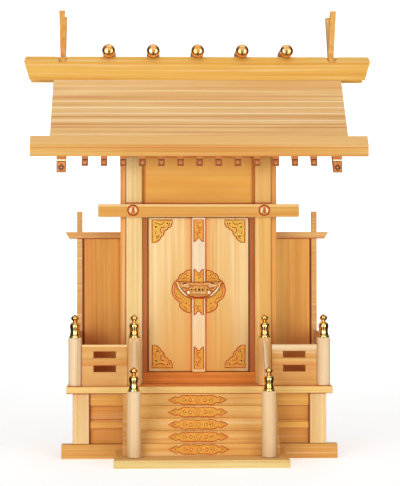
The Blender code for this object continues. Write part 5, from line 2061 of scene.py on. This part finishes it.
@dataclass
class Roundels:
    """Brass roundels on the lintel over the pillars, with a ring of beads round a dome that carries two
    painted highlights and a painted dark reflection between them.
    """

    reach: float = 0.07365
    height: float = 0.2747
    radius: float = 6.45
    sides: int = 40
    dome_radius: float = 5.1
    bead_ring: float = 5.9
    bead_radius: float = 0.3
    bead_spacing: float = 0.0009
    lift: float = 0.00003

    def build(self) -> None:
        """Make both roundels and their beads."""
        gold = LOCK_BRASS.material()
        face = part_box("lintel")[0].y - self.lift
        edge = edge_tree()
        for side in Side:
            centre = (side.value * self.reach, face, self.height)
            draft = Draft(Plane(centre))
            draft.slab(circle((0.0, 0.0), self.radius, self.sides), 0.0, 0.5, 0.66)
            rim = circle((0.0, 0.0), self.radius - 0.55, self.sides)
            draft.stroke(rim, 0.5, 0.5, 0.4, closed=True, dark=0.6)
            draft.boss((0.0, 0.0), self.dome_radius, 0.7, 0.4, 36)
            # Two raised strokes painted as highlights, and a dark stroke between them painted as a
            # reflection.
            for hand in (-1, 1):
                highlight_stroke = flipped([(3.2, -2.8), (3.5, -0.6), (2.6, 1.6), (1.6, 3.2)], hand)
                draft.stroke(highlight_stroke, [0.3, 1.0, 0.8, 0.2], 0.5, 1.05, dark=-0.8)
            reflection_stroke = [(0.3, -3.4), (-0.3, -1.2), (0.3, 1.2), (-0.2, 3.4)]
            draft.stroke(reflection_stroke, [0.3, 0.9, 0.8, 0.3], 0.6, 1.3, dark=0.66)
            settle(draft.piece(f"roundel_{side.word}", gold), Body.ALTAR)
            bead = Draft(Plane())
            bead.boss((0.0, 0.0), self.bead_radius, 0.4, 0.0, 8, 0.45)
            path = [Plane(centre).place(u, v, 0.8) for u, v in circle((0.0, 0.0), self.bead_ring, 48)]
            values = {"Spacing": self.bead_spacing, "Piece": bead.piece("bead", gold), "Finish": gold}
            beads = edge.run(f"roundel_beads_{side.word}", carrier_of(path, closed=True), values)
            settle(beads, Body.ALTAR)


@dataclass
class Tacks:
    """Tiny brass tacks round the door plates."""

    radius: float = 0.42
    height: float = 0.32
    spacing: float = 0.0062
    edge: float = 0.0043
    upper_margin: float = 0.0033
    lower_margin: float = 0.0051
    across: float = 0.0205
    upright: float = 0.0225
    lift: float = 0.00045

    def build(self) -> None:
        """Set the tacks along the straight edges of the corner plates, one piece for each leaf."""
        gold = TURNED_GOLD.material()
        edge = edge_tree()
        for side in Side:
            low, high, _ = box_of(f"door_{side.word}")
            outer = side.outer(low, high) - side.value * self.edge
            face = low.y - self.lift
            tack = Draft(Plane())
            tack.boss((0.0, 0.0), self.radius, self.height, 0.0, 10)
            inner = outer - side.value * self.across
            chains = []
            for z, up in ((high.z - self.upper_margin, -1), (low.z + self.lower_margin, 1)):
                places = ((inner, z), (outer, z), (outer, z + up * self.upright))
                chains.append([Vector((x, face, height)) for x, height in places])
            values = {"Spacing": self.spacing, "Piece": tack.piece("tack", gold), "Finish": gold}
            settle(edge.run(f"tacks_{side.word}", carrier_of(*chains), values), side.leaf)


@dataclass
class Studio:
    """A pale floor and backdrop, soft light, and a camera where the altar was seen from."""

    place: Triple = (-0.0539, -1.8427, 0.2208)
    turn: Triple = (90.535, 0.069, -1.717)
    lens: float = 121.8
    aim: Triple = (0.0, 0.0, 0.25)
    lamps: tuple[tuple[str, Triple, float, float], ...] = (
        ("top_light", (0.0, -0.5, 1.9), 1.6, 7.0),
        ("key_light", (-1.1, -2.4, 0.48), 1.2, 24.2),
        ("fill_light", (1.3, -2.2, 0.42), 1.2, 13.2),
        ("rear_light", (0.2, 2.2, 1.2), 1.4, 12.0),
    )
    dome_radius: float = 6.0
    floor_radius: float = 1.1
    floor_sides: int = 96
    paper_tones: Point = (0.93, 0.95)
    paper_cells: float = 30.0
    paper_glow: float = 0.45
    room_light: float = 0.9
    room_dark: float = 0.03

    def light(self, name: str, place: Triple, size: float, power: float) -> None:
        """A square soft light that shines at the middle of the altar.

        Args:
            name: Its name.
            place: Where it hangs.
            size: Length of its side.
            power: Its power in watts.
        """
        lamp = bpy.data.lights.new(name, "AREA")
        lamp.size = size
        lamp.energy = power
        holder = placed(name, lamp)
        holder.location = place
        holder.rotation_euler = (Vector(self.aim) - Vector(place)).to_track_quat("-Z", "Y").to_euler()

    def disc(self, name: str, inner: float, outer: float, finish: Material) -> Object:
        """A flat ring on the floor's level, or a disc if it has no inner radius.

        Args:
            name: Its name.
            inner: Its inner radius.
            outer: Its outer radius.
            finish: Its material.

        Returns:
            The ring, set aside as part of the stage.
        """
        sides = self.floor_sides
        rim = [(x, y, 0.0) for x, y in circle((0.0, 0.0), outer, sides)]
        hub = [(x, y, 0.0) for x, y in circle((0.0, 0.0), inner, sides)] if inner else [(0.0, 0.0, 0.0)]
        points = rim + hub
        faces = []
        for side in range(sides):
            after = (side + 1) % sides
            inward = [sides + after % len(hub), sides + side % len(hub)]
            faces.append(tuple(dict.fromkeys([side, after, *inward])))
        ring = mesh_piece(name, points, faces)
        ring.data.materials.append(finish)
        return ring

    def glowing(self, name: str, strength: float) -> tuple[Material, Tree, bpy.types.Node]:
        """A white material that shines by itself, with its tree and its shader.

        Args:
            name: Its name.
            strength: How strongly it shines.

        Returns:
            The material, its tree and its shader.
        """
        material, tree, shader = blank_material(name)
        shader.inputs["Base Color"].default_value = WHITE
        shader.inputs["Emission Color"].default_value = WHITE
        shader.inputs["Emission Strength"].default_value = strength
        return material, tree, shader

    def paper(self) -> Material:
        """White paper that is lit a little from below.

        Returns:
            The material.
        """
        paper, tree, shader = self.glowing("studio_paper", self.paper_glow)
        place = add_node(tree, "ShaderNodeTexCoord").outputs["Object"]
        grain = stretched_noise(tree, place, (self.paper_cells,) * 3).outputs["Fac"]
        duller, whiter = ((tone,) * 3 for tone in self.paper_tones)
        tree.links.new(mixed(tree, grain, duller, whiter), shader.inputs["Base Color"])
        shader.inputs["Roughness"].default_value = 0.9
        return paper

    def surround(self) -> None:
        """The floor, the bright ground beyond it and the backdrop."""
        self.disc("floor", 0.0, self.floor_radius, self.paper()).visible_glossy = False
        glow = self.glowing("studio_glow", 1.0)[0]
        build = bmesh.new()
        bmesh.ops.create_uvsphere(build, u_segments=48, v_segments=24, radius=self.dome_radius)
        mesh = bpy.data.meshes.new("backdrop")
        build.to_mesh(mesh)
        build.free()
        mesh.shade_smooth()
        dome = placed("backdrop", mesh)
        dome.data.materials.append(glow)
        for lit in (dome, self.disc("far_floor", self.floor_radius, self.dome_radius, glow)):
            lit.visible_diffuse = False
            lit.visible_glossy = False
            lit.visible_transmission = False
            lit.visible_shadow = False

    def room(self) -> bpy.types.World:
        """A dim room, bright overhead and on both sides of a dark gap in front.

        Returns:
            The world.
        """
        world = bpy.data.worlds.new("room")
        world.use_nodes = True
        tree = world.node_tree
        toward = add_node(tree, "ShaderNodeTexCoord").outputs["Generated"]
        parts = add_node(tree, "ShaderNodeSeparateXYZ", {0: toward})
        front = ramped(tree, parts.outputs["Y"], -0.6, -0.9)
        above = ramped(tree, parts.outputs["Z"], 0.3, 0.9, 0.36)
        aside = ramped(tree, math_node(tree, "ABSOLUTE", parts.outputs["X"]), 0.12, 0.32)
        raised = ramped(tree, parts.outputs["Z"], 0.02, 0.2)
        front = math_node(tree, "MULTIPLY", front, math_node(tree, "MAXIMUM", aside, raised))
        lit = math_node(tree, "MAXIMUM", front, above)
        colour = mixed(tree, lit, (self.room_dark,) * 3, (self.room_light,) * 3)
        tree.links.new(colour, tree.nodes["Background"].inputs["Color"])
        return world

    def build(self) -> None:
        """Set up the surround, the lights and the camera."""
        scene = bpy.context.scene
        scene.view_settings.view_transform = "Standard"
        self.surround()
        scene.world = self.room()
        for lamp in self.lamps:
            self.light(*lamp)
        camera = bpy.data.cameras.new("camera")
        camera.lens = self.lens
        holder = placed("camera", camera)
        holder.location = self.place
        holder.rotation_euler = [math.radians(angle) for angle in self.turn]
        scene.camera = holder


def main() -> None:
    """Build every part of the altar's looks, from the base up, and then the studio."""
    logging.basicConfig(level=logging.INFO, format="%(message)s")
    Boards().dress()
    StairPlates().build()
    RailPosts().build()
    Railings().build()
    WingPanels().build()
    DoorFittings().build()
    Lock().build()
    Tacks().build()
    Roundels().build()
    EaveCaps().build()
    RidgeLogs().build()
    Studio().build()


if __name__ == "__main__":
    main()
